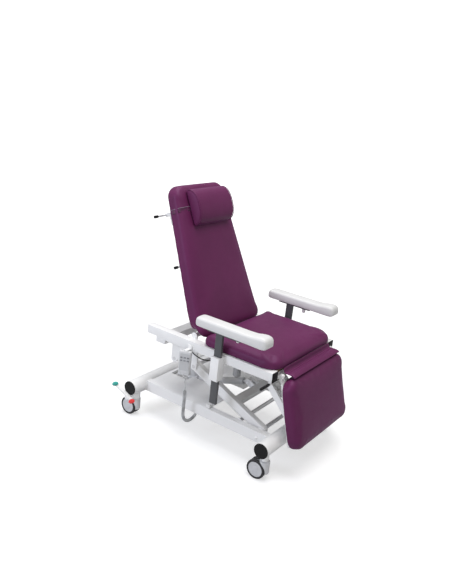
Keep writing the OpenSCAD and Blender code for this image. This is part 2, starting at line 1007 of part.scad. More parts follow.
module rail_outline(s) {
    translate([s * rail_x, 0])
        hull() {
            translate([-rail_w / 2, -rail_front])
                square([rail_w, rail_w]);
            for (k = [-1, 1])
                translate([k * (rail_w / 2 - rail_r), rail_rear - rail_r])
                    circle(r = rail_r, $fn = hull_fn);
        }
}

module rail(s) {
    translate([0, 0, rail_z])
        difference() {
            linear_extrude(height = rail_h)
                rail_outline(s);
            translate([s * rail_x, -rail_wall * 2 - rail_r, rail_h / 2])
                bar(rail_w - 2 * rail_wall, rail_front + rail_rear, rail_h - 2 * rail_wall);
        }
}

module hanger(s) {
    translate([s * (hanger_in + hanger_t / 2), 0, 0]) {
        for (y = [frame_y, frame_y + guide_gap])
            translate([0, y, frame_z])
                rotate([180, 0, 0])
                    lug(hanger_d, rail_z - frame_z + weld, hanger_t);
        translate([0, frame_y + guide_gap / 2, (frame_z + rail_z) / 2])
            bar(hanger_t, guide_gap, rail_z - frame_z);
    }
    flange_out = rail_out - rail_wall;
    translate([s * (hanger_in + flange_out) / 2, frame_y + guide_gap / 2, rail_z - flange_t / 2 + weld])
        bar(flange_out - hanger_in, hanger_rear - hanger_front, flange_t + weld);
}

module tie(y) {
    translate([0, y, tie_z + tie_h / 2])
        rotate([0, 0, 90])
            box_tube(tie_w, 2 * (rail_in + weld), tie_h, tube_wall);
}

module motor_lugs(x, y, z, top) {
    for (s = [-1, 1])
        translate([x + s * (foot_w / 2 + lug_gap + lug_t / 2), y, z])
            rotate([180, 0, 0])
                lug(foot_d, top - z, lug_t);
}

module leg_lug(s) {
    translate([s * (leg_lug_x + leg_lug_t / 2), leg_y, leg_z]) {
        rod_x(leg_lug_d, leg_lug_t);
        translate([0, (tie_front_y - leg_y) / 2, -leg_lug_d / 4])
            bar(leg_lug_t, tie_front_y - leg_y, leg_lug_d / 2);
    }
}

module back_lug(s) {
    translate([s * (rail_in - back_lug_t / 2 + weld / 2), back_y, back_z])
        lug(back_lug_d, back_z - rail_z - tube_wall, back_lug_t + weld);
}

module handle_lug_at(x, top) {
    translate([x, handle_y, handle_z])
        rotate([180, 0, 0])
            lug(handle_lug, top - handle_z, handle_lug_t);
}

module seat_frame() {
    placed()
    color("white")
        difference() {
            union() {
                for (s = [-1, 1]) {
                    rail(s);
                    hanger(s);
                    leg_lug(s);
                    back_lug(s);
                }
                handle_lug_at(-handle_lug_x, rail_z + weld);
                handle_lug_at(-handle_lug_in, tie_z + weld);
                for (y = [tie_front_y, tie_mid_y, tie_rear_y])
                    tie(y);
                translate([0, bracket_y, rail_z - bracket_h / 2 + weld / 2])
                    difference() {
                        bar(2 * bracket_x, bracket_w, bracket_h + weld);
                        translate([0, 0, -tube_wall])
                            bar(2 * (bracket_x - tube_wall), bracket_w - 2 * tube_wall, bracket_h + weld);
                    }
                motor_lugs(back_motor_x, back_anchor_y, back_anchor_z, tie_z + tie_h / 2);
                translate([back_motor_x, (back_anchor_y + tie_mid_y) / 2, tie_z + lug_t / 2])
                    bar(foot_w + 2 * (lug_gap + lug_t), tie_w, lug_t);
                motor_lugs(leg_motor_x, leg_anchor_y, leg_anchor_z, tie_z + weld);
            }
            for (y = [frame_y, frame_y + guide_gap])
                translate([0, y, frame_z])
                    rod_x(shaft_d + 2 * run_gap, 2 * (hanger_in + hanger_t + cut));
            translate([0, leg_y, leg_z])
                rod_x(leg_pin_d + 2 * run_gap, 2 * rail_in);
            translate([0, back_y, back_z])
                rod_x(back_pin_d + 2 * run_gap, 2 * rail_in);
            translate([0, handle_y, handle_z])
                rod_x(handle_d + 2 * run_gap, 2 * rail_out);
            translate([back_motor_x, back_anchor_y, back_anchor_z])
                rod_x(foot_pin_d + 2 * run_gap, foot_w + 2 * (lug_gap + lug_t + cut));
            translate([leg_motor_x, leg_anchor_y, leg_anchor_z])
                rod_x(foot_pin_d + 2 * run_gap, foot_w + 2 * (lug_gap + lug_t + cut));
        }
}

module rail_caps() {
    placed()
    color([0.08, 0.08, 0.08])
        for (s = [-1, 1])
            translate([s * rail_x, 0, rail_z + rail_h / 2]) {
                translate([0, -rail_front - end_cap_t / 2, 0])
                    bar(rail_w, end_cap_t, rail_h);
                translate([0, -rail_front + end_plug / 2 - weld, 0])
                    bar(rail_w - 2 * plug_in, end_plug + weld, rail_h - 2 * plug_in);
            }
}

module frame_shafts() {
    placed()
    color("silver")
        for (y = [frame_y, frame_y + guide_gap])
            translate([0, y, frame_z])
                rod_x(shaft_d, 2 * (hanger_in + hanger_t));
}

module arm_sleeves() {
    placed()
    color("white")
        for (s = [-1, 1])
            translate([s * sleeve_x, post_y, sleeve_top - sleeve_h])
                difference() {
                    translate([-sleeve_w / 2, -sleeve_d / 2, 0])
                        cube([sleeve_w, sleeve_d, sleeve_h]);
                    translate([s * (post_x - sleeve_x), 0, -cut])
                        translate([-post_w / 2 - slide_gap, -post_d / 2 - slide_gap, 0])
                            cube([post_w + 2 * slide_gap, post_d + 2 * slide_gap, sleeve_h + 2 * cut]);
                }
}

module seat_board() {
    placed()
    color([0.3, 0.28, 0.27])
        translate([-board_half, -board_front, board_z])
            cube([2 * board_half, board_front + board_rear, rail_top - board_z]);
}

module seat_cushion() {
    placed()
    color([0.3, 0.13, 0.27])
        translate([0, (seat_rear - seat_front) / 2, cushion_z])
            slab_cushion(seat_half, seat_half, seat_front + seat_rear, seat_t + seat_crown, seat_crown,
                         seat_edge, seat_corner, seat_rear_corner, 0, flat_share, flat_share);
}

// Spiral wrapped cable under the near rail
module cable_wrap() {
    placed()
    color("white")
        translate([-wrap_x, wrap_y0, wrap_z])
            rotate([-90, 0, 0])
                rotate_extrude()
                    polygon(concat([[0, 0]],
                        [for (k = [0:wrap_ribs - 1]) each [
                            [wrap_d * wrap_low_share, k * (wrap_y1 - wrap_y0) / wrap_ribs],
                            [wrap_d * wrap_high_share, (k + 1 / 3) * (wrap_y1 - wrap_y0) / wrap_ribs],
                            [wrap_d * wrap_low_share, (k + 1) * (wrap_y1 - wrap_y0) / wrap_ribs]]],
                        [[0, wrap_y1 - wrap_y0]]));
}

module motor_cable() {
    placed()
    color([0.1, 0.1, 0.1])
        sweep(cable_points, cable_d, 8);
}

module roll_lug_at(x, y, z) {
    translate([x, y, z])
        rotate([-90, 0, 0])
            lug(roll_lug, y - back_frame_y - side_d + weld, side_w / 2);
}

// Lever plate of the recline motor beside the rod eye
module back_lever(s) {
    translate([back_motor_x + s * (rod_eye_w / 2 + clevis_gap + lever_t / 2), 0, 0])
        rotate([lever_lead + back_tilt, 0, 0])
            translate([0, 0, -lever_r]) {
                rotate([180, 0, 0])
                    lug(lever_d, lever_r, lever_t);
                translate([s * (lever_t + pin_head_t) / 2, 0, 0])
                    rod_x(pin_head_d, pin_head_t + weld);
            }
}

module back_frame() {
    placed()
    color("white")
        at_back()
            difference() {
                union() {
                    rod_x(pivot_tube_d, 2 * (rail_in - back_lug_t - leg_ear_gap));
                    rod_x(back_pin_d, 2 * (rail_in - tube_wall / 2));
                    for (s = [-1, 1]) {
                        translate([s * side_x, back_frame_y + side_d / 2, side_top / 2])
                            difference() {
                                bar(side_w, side_d, side_top);
                                bar(side_w - 2 * side_wall, side_d - 2 * side_wall, side_top - 2 * cheek_h);
                            }
                        translate([s * side_x, (back_frame_y + side_d) / 2, 0])
                            bar(side_w, back_frame_y + side_d, cheek_h);
                        back_lever(s);
                        roll_lug_at(s * side_x, roll_y, roll_z);
                        roll_lug_at(s * side_x, roll_low_y, roll_low_z);
                        translate([s * side_x, side_rear + riser_d / 2 - weld, (riser_top + riser_foot) / 2])
                            bar(side_w / 2, riser_d, riser_top - riser_foot);
                    }
                    for (z = [cross_low, cross_top])
                        translate([0, back_frame_y + side_d / 2, z])
                            bar(2 * side_x - side_w + 2 * weld, side_d - side_wall, side_w);
                }
                translate([0, roll_y, roll_z])
                    rod_x(roll_d + 2 * run_gap, 2 * roll_x);
                translate([0, roll_low_y, roll_low_z])
                    rod_x(roll_d + 2 * run_gap, 2 * roll_x);
            }
}

module back_cushion() {
    placed()
    color([0.3, 0.13, 0.27])
        at_back()
            translate([0, back_rear, back_foot + back_l / 2])
                rotate([90, 0, 0])
                    slab_cushion(back_half, back_half_top, back_l, back_t, back_crown,
                                 back_edge, back_corner, back_corner, back_under,
                                 back_under_share, flat_share);
}

module roll_rods() {
    placed()
    color([0.5, 0.5, 0.52])
        at_back() {
            translate([0, roll_y, roll_z])
                rod_x(roll_d, 2 * roll_x);
            translate([0, roll_low_y, roll_low_z])
                rod_x(roll_d, 2 * roll_low_x);
        }
}

module roll_tip(s, x, y, z) {
    translate([s * (x - tip_bore), y, z])
        rotate([0, s * 90, 0])
            difference() {
                cylinder(d = tip_d, h = tip_l);
                translate([0, 0, -cut])
                    cylinder(d = roll_d + 2 * run_gap, h = tip_bore + seat_gap + cut);
            }
}

module roll_tips() {
    placed()
    color([0.08, 0.08, 0.08])
        at_back()
            for (s = [-1, 1]) {
                roll_tip(s, roll_x, roll_y, roll_z);
                roll_tip(s, roll_low_x, roll_low_y, roll_low_z);
            }
}

// Half-round roll, flat against the backrest, with domed ends
module headrest() {
    placed()
    color([0.3, 0.13, 0.27])
        at_back()
            translate([0, -back_face - head_gap, head_foot])
                polyhedron(
                    points = [for (e = head_end_share) for (p = head_ring_share)
                        [e[0] * head_l, -p[0] * head_d * e[1], head_h / 2 + (p[1] - 0.5) * head_h * e[1]]],
                    faces = skin_faces(len(head_end_share), len(head_ring_share)));
}

function back_half_at(z) = back_half + (back_half_top - back_half) * (z - back_foot) / back_l;

module headrest_strap() {
    inner = 2 * back_half_at(strap_z) + 2 * strap_room;
    deep = back_t + head_gap + strap_room - weld;
    placed()
    color([0.28, 0.12, 0.25])
        at_back()
            translate([0, back_rear + strap_room - deep / 2 - soft_gap, strap_z])
                difference() {
                    rounded_box(inner, deep, strap_w, strap_r);
                    translate([0, 0, -cut])
                        rounded_box(inner - 2 * strap_t, deep - 2 * strap_t,
                                    strap_w + 2 * cut, strap_r - strap_t);
                }
}

module at_back_motor() {
    translate([back_motor_x, back_anchor_y, back_anchor_z])
        rotate([back_angle - 90, 0, 0])
            children();
}

module back_motor() {
    placed()
    color([0.55, 0.56, 0.58])
        at_back_motor() {
            actuator_body(back_len, in_show, in_depth, stub_l, back_stroke);
        }
}

module back_rod() {
    placed()
    color("silver")
        at_back_motor()
            actuator_rod(back_len, in_show, in_depth);
}

module leg_lever_plate(x, t, w, l) {
    translate([x, leg_arm_y, leg_arm_z])
        rotate([-leg_lean, 0, 0])
            lug(w, l, t);
}

module leg_frame() {
    placed()
    color("gainsboro")
        at_leg() {
            difference() {
                translate([-leg_panel_half, leg_back + soft_gap, -leg_low])
                    cube([2 * leg_panel_half, leg_panel_t, leg_low - leg_panel_top]);
                translate([-leg_pocket, leg_back + soft_gap + leg_skin, -leg_low + leg_rim])
                    cube([2 * leg_pocket, leg_panel_t, leg_low - leg_panel_top - 2 * leg_rim]);
            }
            for (s = [-1, 1]) {
                translate([s * leg_side_x, leg_side_y, -(leg_side_top + leg_side_foot) / 2])
                    bar(leg_side_w, leg_side_w, leg_side_foot - leg_side_top);
                translate([s * (leg_lug_x - leg_ear_gap - leg_ear_t / 2), 0, 0]) {
                    rod_x(leg_lug_d, leg_ear_t);
                    translate([0, (leg_back + leg_panel_t) / 2, -leg_panel_top / 2])
                        bar(leg_ear_t, leg_back + leg_panel_t, leg_panel_top + 2 * weld);
                }
                translate([s * (leg_lug_x + (leg_lug_t - leg_ear_gap) / 2), 0, 0])
                    rod_x(leg_pin_d, leg_lug_t + leg_ear_gap + weld);
                leg_lever_plate(s * leg_lever_x, leg_lever_t, leg_lever_w, leg_lever_l);
                leg_lever_plate(leg_motor_x + s * (rod_eye_w / 2 + clevis_gap + clevis_t / 2),
                                clevis_t, clevis_d, leg_cross_s);
                translate([leg_motor_x + s * (rod_eye_w / 2 + clevis_gap + clevis_t + pin_head_t / 2),
                           leg_arm_y, leg_arm_z])
                    rod_x(pin_head_d, pin_head_t + weld);
            }
            translate([0, leg_arm_y, leg_arm_z])
                rotate([-leg_lean, 0, 0])
                    translate([0, 0, -leg_cross_s])
                        rod_x(leg_cross_d, 2 * leg_lever_x);
        }
}

module leg_cushion() {
    placed()
    color([0.3, 0.13, 0.27])
        at_leg()
            translate([0, leg_back, -leg_head - leg_l / 2])
                rotate([90, 0, 0])
                    slab_cushion(leg_half, leg_half, leg_l, leg_t, leg_crown,
                                 leg_edge, leg_corner, leg_corner, leg_under, flat_share, leg_under_share);
}

// Pleated hinge strip between the seat and the leg section
module hinge_flap() {
    n = 24;
    placed()
    color([0.32, 0.14, 0.29])
        translate([0, flap_y, flap_z])
            rotate([0, 90, 0])
                linear_extrude(height = 2 * flap_half, center = true)
                    polygon([for (k = [0:n - 1])
                        let (r = flap_r - flap_depth * (1 - cos(360 * flap_pleats * k / n)) / 2)
                        [r * cos(360 * k / n), r * sin(360 * k / n)]]);
}

module at_leg_motor() {
    translate([leg_motor_x, leg_anchor_y, leg_anchor_z])
        rotate([90 - leg_angle, 0, 0])
            children();
}

module leg_motor() {
    placed()
    color([0.55, 0.56, 0.58])
        at_leg_motor() {
            rotate([0, 0, 180])
                actuator_body(leg_len, out_show, out_depth, stub_l, 0);
        }
}

module leg_rod() {
    placed()
    color("silver")
        at_leg_motor()
            actuator_rod(leg_len, out_show, out_depth);
}

module leg_handle() {
    placed()
    color([0.1, 0.1, 0.1])
        translate([0, handle_y, handle_z]) {
            translate([-(handle_x + handle_in) / 2, 0, 0])
                rod_x(handle_d, handle_x - handle_in);
            translate([-handle_x - handle_grip_l / 2 + weld, 0, 0])
                rod_x(handle_grip_d, handle_grip_l);
        }
}

module arm_post(s) {
    placed()
    color([0.28, 0.29, 0.31])
        translate([s * post_x, post_y, post_top - post_l / 2])
            bar(post_w, post_d, post_l);
}

module arm_pad(s) {
    placed()
    color("whitesmoke")
        translate([s * post_x, pad_front + pad_l, pad_z])
            polyhedron(
                points = [for (k = [0:len(pad_share) - 1]) for (p = pad_ring_share)
                    [p[0] * pad_w * pad_width_share[k], -pad_share[k] * pad_l,
                     pad_t * (pad_low_share[k] + p[1] * (pad_height_share[k] - pad_low_share[k]))]],
                faces = skin_faces(len(pad_share), len(pad_ring_share)));
}

module arm_plate(s) {
    placed()
    color([0.28, 0.29, 0.31])
        translate([s * post_x, 0, 0])
            difference() {
                translate([-plate_w / 2, -plate_front, pad_z - plate_t])
                    cube([plate_w, plate_front + plate_rear, plate_t - seat_gap]);
                translate([-s * knob_x, knob_y, pad_z - plate_t - cut])
                    cylinder(d = knob_stem + 2 * run_gap, h = plate_t + 2 * cut);
            }
}

module arm_knob(s) {
    placed()
    color("gainsboro")
        translate([s * (post_x - knob_x), knob_y, pad_z - plate_t - knob_press - knob_rest - knob_h]) {
            cylinder(d1 = knob_d - knob_cone, d2 = knob_d, h = knob_cone);
            translate([0, 0, knob_cone])
                cylinder(d = knob_d, h = knob_h - knob_cone);
            translate([0, 0, knob_h - weld])
                cylinder(d = knob_stem, h = knob_press + knob_rest + plate_t / 3);
        }
}

module at_handset() {
    translate([-hand_x, hand_y, hand_z])
        rotate([0, 0, hand_turn])
            children();
}

module handset() {
    placed()
    color([0.72, 0.73, 0.74])
        at_handset()
            rotate([0, -90, 0])
                translate([0, 0, -hand_t / 2])
                    rounded_box(hand_h, hand_w, hand_t, hand_r);
}

module handset_keys() {
    key_x = -(hand_t + key_t) / 2 - seat_gap;
    placed()
    color([0.45, 0.46, 0.48])
        at_handset()
            for (r = [0, 1])
                for (c = [-1, 0, 1])
                    translate([key_x, c * key_gap, hand_h / 2 - key_top - r * key_row])
                        bar(key_t, key_w, key_h);
}

module handset_hook() {
    hook_z = hand_z + hand_h / 2 + seat_gap;
    placed()
    color("white") {
        translate([-rail_out - hook_lip / 2, hand_y, hook_z + hook_h / 2])
            bar(hook_lip, hook_w, hook_h);
        translate([-(rail_out + hand_x) / 2 - hook_lip, hand_y, hook_z + hook_lip / 2])
            bar(hand_x - rail_out, hook_tongue, hook_lip);
    }
}

// One closed tube along a list of points, each ring square to the route
function tube_ring(p, t, d, n) =
    let (u = cross(t, ring_share) / norm(cross(t, ring_share)), v = cross(t, u))
    [for (k = [0:n - 1]) p + d / 2 * (cos(360 * k / n) * u + sin(360 * k / n) * v)];
function tangent(pts, i) =
    let (a = pts[max(i - 1, 0)], b = pts[min(i + 1, len(pts) - 1)]) (b - a) / norm(b - a);
module sweep(pts, d, n) {
    rings = [for (i = [0:len(pts) - 1]) tube_ring(pts[i], tangent(pts, i), d, n)];
    polyhedron(points = [for (r = rings) each r], faces = skin_faces(len(pts), n));
}

module handset_lead() {
    placed()
    color([0.66, 0.67, 0.68])
        sweep(lead_points, lead_d, 8);
}

// Middle line of the curly cord: straight down, then a half circle under the side member
function curl_turn(s) = (s - curl_drop) / curl_bend * 180 / PI;
function curl_mid(s) = s < curl_drop
    ? curl_start - [0, 0, s]
    : curl_start - [0, 0, curl_drop]
      + curl_bend * [1 - cos(curl_turn(s)), 0, -sin(curl_turn(s))];
function curl_in(s) = s < curl_drop
    ? [1, 0, 0]
    : [cos(curl_turn(s)), 0, sin(curl_turn(s))];
function curl_reach(s) =
    curl_r * max(0, min(1, (s - cord_d) / curl_ease, (curl_len - s - cord_d) / curl_ease));
function curl_point(i) =
    let (s = curl_len * i / curl_steps, a = 360 * i / curl_rings)
    curl_mid(s) + curl_reach(s) * (cos(a) * curl_in(s) + sin(a) * [0, 1, 0]);
curl_points = [for (i = [0:curl_steps]) curl_point(i)];

module handset_curl() {
    gap = min([for (i = [curl_rings * 3:curl_steps - curl_rings * 3])
        for (j = [-3:3]) norm(curl_points[i] - curl_points[i + curl_rings + j])]) - cord_d;
    echo(least_gap_between_curls = gap);
    placed()
    color([0.66, 0.67, 0.68])
        sweep(curl_points, cord_d, curl_sides);
}

base_frame();
base_cover();
tube_caps();
side_fittings();
control_box();
base_shafts();
housing(-1, -1);  // housing_fr
housing(1, -1);  // housing_fl
housing(-1, 1);  // housing_rr
housing(1, 1);  // housing_rl
tyres(-1, -1);  // tyres_fr
tyres(1, -1);  // tyres_fl
tyres(-1, 1);  // tyres_rr
tyres(1, 1);  // tyres_rl
hubs(-1, -1);  // hubs_fr
hubs(1, -1);  // hubs_fl
hubs(-1, 1);  // hubs_rr
hubs(1, 1);  // hubs_rl
brake_bar();
brake_pad_rear();
brake_pad_front();
lift_arms();
guide_arms();
lift_motor();
lift_rod();
seat_frame();
rail_caps();
frame_shafts();
arm_sleeves();
seat_board();
seat_cushion();
cable_wrap();
motor_cable();
back_frame();
back_cushion();
roll_rods();
roll_tips();
headrest();
headrest_strap();
back_motor();
back_rod();
leg_frame();
leg_cushion();
hinge_flap();
leg_motor();
leg_rod();
leg_handle();
arm_post(-1);  // arm_post_r
arm_post(1);  // arm_post_l
arm_pad(-1);  // arm_pad_r
arm_pad(1);  // arm_pad_l
arm_plate(-1);  // arm_plate_r
arm_plate(1);  // arm_plate_l
arm_knob(-1);  // arm_knob_r
arm_knob(1);  // arm_knob_l
handset();
handset_keys();
handset_hook();
handset_lead();
handset_curl();
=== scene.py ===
import json
import math

import bmesh
import bpy
from mathutils import Matrix, Vector, noise
from mathutils.bvhtree import BVHTree

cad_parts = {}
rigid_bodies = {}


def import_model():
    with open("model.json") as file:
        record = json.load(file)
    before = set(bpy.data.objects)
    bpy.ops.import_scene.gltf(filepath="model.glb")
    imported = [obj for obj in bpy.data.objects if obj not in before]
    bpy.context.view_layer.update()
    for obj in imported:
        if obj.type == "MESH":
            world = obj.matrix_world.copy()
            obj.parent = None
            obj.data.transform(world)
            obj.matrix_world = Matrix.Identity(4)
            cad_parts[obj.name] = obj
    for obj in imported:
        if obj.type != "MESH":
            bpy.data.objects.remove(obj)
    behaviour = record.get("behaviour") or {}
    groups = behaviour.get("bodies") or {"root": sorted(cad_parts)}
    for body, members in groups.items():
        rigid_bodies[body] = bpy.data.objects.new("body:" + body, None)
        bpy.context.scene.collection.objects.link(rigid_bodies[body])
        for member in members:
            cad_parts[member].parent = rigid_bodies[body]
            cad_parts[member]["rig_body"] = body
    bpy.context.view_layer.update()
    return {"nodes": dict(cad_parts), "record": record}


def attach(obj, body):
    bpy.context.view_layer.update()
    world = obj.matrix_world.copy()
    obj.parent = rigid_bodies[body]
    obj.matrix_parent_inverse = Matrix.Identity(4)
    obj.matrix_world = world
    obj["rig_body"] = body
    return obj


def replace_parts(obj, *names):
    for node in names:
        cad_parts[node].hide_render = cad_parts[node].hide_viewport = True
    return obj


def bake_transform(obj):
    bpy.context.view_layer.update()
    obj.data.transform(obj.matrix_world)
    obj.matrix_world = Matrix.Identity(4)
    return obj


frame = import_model()
nodes = frame["nodes"]
scene = bpy.context.scene
scene.view_settings.view_transform = "Standard"


# ---------------------------------------------------------------- camera
PHOTO_HEIGHT_PX = 584
FOCAL_PX = 630.167
SENSOR_MM = 36
CAMERA_TURN = (-55.734, 18.525, 6.189)      # yaw, pitch and roll, in degrees
CAMERA_PLACE = (-2.619, -1.643, 1.799)


def camera():
    """The photo's own view, as its vanishing directions, casters and tube ends give it."""
    yaw, pitch, roll = (math.radians(v) for v in CAMERA_TURN)
    back = Vector((math.sin(yaw) * math.cos(pitch), -math.cos(yaw) * math.cos(pitch), math.sin(pitch)))
    fwd = -back
    level_right = fwd.cross(Vector((0, 0, 1))).normalized()
    level_up = level_right.cross(fwd)
    right = level_right * math.cos(roll) + level_up * math.sin(roll)
    up = -level_right * math.sin(roll) + level_up * math.cos(roll)
    m = Matrix((right, up, back)).transposed().to_4x4()
    m.translation = Vector(CAMERA_PLACE)
    data = bpy.data.cameras.new("camera")
    data.sensor_width = SENSOR_MM
    data.lens = FOCAL_PX * SENSOR_MM / PHOTO_HEIGHT_PX
    cam = bpy.data.objects.new("camera", data)
    cam.matrix_world = m
    scene.collection.objects.link(cam)
    scene.camera = cam


camera()


# ---------------------------------------------------------------- materials
NOISE_ROUGHNESS = 0.55
# the colour that the hollows are darkened towards, as a share of the paint's own colour
HOLLOW_TONE = 0.45


class Tree:
    """A material whose Principled shader gets colour, roughness and bump from procedural nodes."""

    def __init__(self, name):
        self.mat = bpy.data.materials.new(name)
        self.mat.use_nodes = True
        self.nt = self.mat.node_tree
        self.shader = self.nt.nodes["Principled BSDF"]
        self.coord = self.nt.nodes.new("ShaderNodeTexCoord")
        self.height = None

    def link(self, a, b):
        self.nt.links.new(a, b)

    def node(self, kind, **values):
        n = self.nt.nodes.new("ShaderNode" + kind)
        for k, v in values.items():
            setattr(n, k, v)
        return n

    def mapped(self, stretch=(1, 1, 1)):
        m = self.node("Mapping")
        m.inputs["Scale"].default_value = stretch
        self.link(self.coord.outputs["Object"], m.inputs["Vector"])
        return m.outputs["Vector"]

    def noise(self, scale, detail=3, stretch=(1, 1, 1)):
        n = self.node("TexNoise")
        n.inputs["Scale"].default_value = scale
        n.inputs["Detail"].default_value = detail
        n.inputs["Roughness"].default_value = NOISE_ROUGHNESS
        self.link(self.mapped(stretch), n.inputs["Vector"])
        return n.outputs["Fac"]

    def cells(self, scale, feature="F1"):
        n = self.node("TexVoronoi", feature=feature)
        n.inputs["Scale"].default_value = scale
        self.link(self.mapped(), n.inputs["Vector"])
        return n.outputs["Distance"]

    def ramp(self, fac, low, high, a=0.3, b=0.7):
        n = self.node("ValToRGB")
        n.color_ramp.elements[0].position, n.color_ramp.elements[1].position = a, b
        n.color_ramp.elements[0].color = (*low, 1)
        n.color_ramp.elements[1].color = (*high, 1)
        self.link(fac, n.inputs["Fac"])
        return n.outputs["Color"]

    def colour(self, out):
        self.link(out, self.shader.inputs["Base Color"])

    def spread(self, fac, low, high, socket):
        n = self.node("MapRange")
        n.inputs["To Min"].default_value = low
        n.inputs["To Max"].default_value = high
        self.link(fac, n.inputs["Value"])
        self.link(n.outputs["Result"], self.shader.inputs[socket])

    def bump(self, fac, mm, strength=1.0):
        n = self.node("Bump")
        n.inputs["Strength"].default_value = strength
        n.inputs["Distance"].default_value = mm / 1000
        self.link(fac, n.inputs["Height"])
        if self.height:
            self.link(self.height, n.inputs["Normal"])
        self.height = n.outputs["Normal"]
        self.link(self.height, self.shader.inputs["Normal"])

    def set(self, **values):
        for k, v in values.items():
            self.shader.inputs[k.replace("_", " ")].default_value = v


def shade(c, k):
    return tuple(min(1, v * k) for v in c)


def paint(name, c, rough, peel=0.02, vary=0.03, hollow_darkening=0.06):
    """Powder coat or moulded plastic: orange peel, cloudy colour and gloss, the colour darkened a little in the
    hollows.
    """
    t = Tree(name)
    cloud = t.noise(9, 4)
    base = t.ramp(cloud, shade(c, 1 - vary), shade(c, 1 + vary * 0.5))
    # the colour is darkened in the hollows, where pointiness is low
    hollow_mix = t.node("Mix", data_type="RGBA")
    geo = t.node("NewGeometry")
    hollow = t.node("MapRange")
    hollow.inputs["From Min"].default_value, hollow.inputs["From Max"].default_value = 0.47, 0.40
    hollow.inputs["To Max"].default_value = hollow_darkening
    t.link(geo.outputs["Pointiness"], hollow.inputs["Value"])
    t.link(hollow.outputs["Result"], hollow_mix.inputs["Factor"])
    t.link(base, hollow_mix.inputs["A"])
    hollow_mix.inputs["B"].default_value = (*shade(c, HOLLOW_TONE), 1)
    t.colour(hollow_mix.outputs["Result"])
    t.spread(t.noise(40, 3), max(0.04, rough - 0.06), rough + 0.06, "Roughness")
    t.bump(t.noise(420, 2), peel)
    t.set(IOR=1.48)
    return t


def vinyl(name, c):
    """Coated upholstery: cloudy colour, satin skin with a fine leather grain, a violet sheen at grazing angles."""
    t = Tree(name)
    t.colour(t.ramp(t.noise(5, 4), shade(c, 0.9), shade(c, 1.1)))
    t.spread(t.noise(26, 4), 0.43, 0.54, "Roughness")
    t.bump(t.noise(3.2, 2), 2.5, 0.22)
    t.bump(t.cells(620, "SMOOTH_F1"), 0.16, 0.55)
    t.bump(t.noise(1500, 3), 0.06, 0.4)
    t.set(IOR=1.45, Sheen_Weight=0.08, Sheen_Roughness=0.35, Sheen_Tint=(0.45, 0.3, 0.95, 1),
          Specular_IOR_Level=0.33, Specular_Tint=(0.8, 0.7, 1.0, 1))
    return t.mat


def steel(name, c):
    """Brushed metal, its marks drawn out along X."""
    along = (3, 60, 60)
    t = Tree(name)
    t.colour(t.ramp(t.noise(12, 3), shade(c, 0.9), shade(c, 1.08)))
    t.spread(t.noise(30, 4, along), 0.30, 0.48, "Roughness")
    t.bump(t.noise(60, 3, along), 0.02)
    t.set(Metallic=1.0)
    return t.mat


def rubber(name, c, rough, grain, shine=0.5):
    """Rubber or matt plastic: cloudy colour and a fine grain."""
    t = Tree(name)
    t.colour(t.ramp(t.noise(30, 5), shade(c, 0.75), shade(c, 1.5)))
    t.spread(t.noise(60, 3), rough - 0.1, rough + 0.12, "Roughness")
    t.bump(t.noise(grain, 3), 0.08)
    t.set(IOR=1.45, Specular_IOR_Level=shine)
    return t.mat


def grained(name, c, rough, grain=900, depth=0.05):
    """Moulded plastic or polyurethane skin with a fine leather-like grain."""
    t = paint(name, c, rough, peel=0.01, vary=0.025)
    t.bump(t.cells(grain), depth, 0.6)
    return t.mat


def wood(name):
    """Dark plywood, its grain drawn out along Y."""
    along = (14, 1, 14)
    t = Tree(name)
    t.colour(t.ramp(t.noise(30, 6, along), (0.16, 0.1, 0.06), (0.3, 0.21, 0.13)))
    t.spread(t.noise(50, 3), 0.55, 0.7, "Roughness")
    t.bump(t.noise(60, 4, along), 0.1)
    return t.mat


def braided(name, c):
    """Woven elastic or thread."""
    t = Tree(name)
    t.colour(t.ramp(t.cells(700), shade(c, 1.15), shade(c, 0.7), 0.1, 0.6))
    t.spread(t.noise(90, 3), 0.6, 0.75, "Roughness")
    t.bump(t.cells(700), 0.2, 0.8)
    return t.mat


WHITE = (0.89, 0.89, 0.885)
M = {
    "frame_white": paint("frame_white", WHITE, 0.34).mat,
    "cover_white": paint("cover_white", (0.91, 0.91, 0.91), 0.2, peel=0.008, vary=0.02, hollow_darkening=0.04).mat,
    "fitting_white": paint("fitting_white", (0.88, 0.88, 0.87), 0.42).mat,
    "armrest_white": grained("armrest_white", (0.69, 0.69, 0.685), 0.44),
    "cap_black": rubber("cap_black", (0.006, 0.006, 0.0065), 0.5, 700, 0.25),
    "cable_black": rubber("cable_black", (0.008, 0.008, 0.009), 0.48, 700, 0.35),
    "tyre_dark": rubber("tyre_dark", (0.03, 0.03, 0.032), 0.66, 400),
    "motor_grey": grained("motor_grey", (0.46, 0.465, 0.475), 0.5, 1200),
    "motor_light": grained("motor_light", (0.62, 0.625, 0.635), 0.46, 1200),
    "caster_grey": grained("caster_grey", (0.64, 0.645, 0.66), 0.46, 1400, 0.03),
    "shaft_steel": steel("shaft_steel", (0.74, 0.74, 0.75)),
    "pad_green": rubber("pad_green", (0.03, 0.31, 0.27), 0.5, 800),
    "pad_red": rubber("pad_red", (0.62, 0.035, 0.035), 0.5, 800),
    "vinyl": vinyl("vinyl", (0.112, 0.0160, 0.070)),
    "board": wood("board"),
    "post_grey": paint("post_grey", (0.085, 0.087, 0.092), 0.36, peel=0.015, vary=0.08).mat,
    "handset_grey": grained("handset_grey", (0.64, 0.645, 0.65), 0.48, 1500, 0.03),
    "panel_grey": grained("panel_grey", (0.53, 0.535, 0.545), 0.42, 1800, 0.015),
    "key_grey": rubber("key_grey", (0.2, 0.205, 0.215), 0.55, 900),
    "cord_grey": rubber("cord_grey", (0.42, 0.425, 0.43), 0.46, 900),
}
STRAP = braided("strap_elastic", (0.115, 0.026, 0.082))
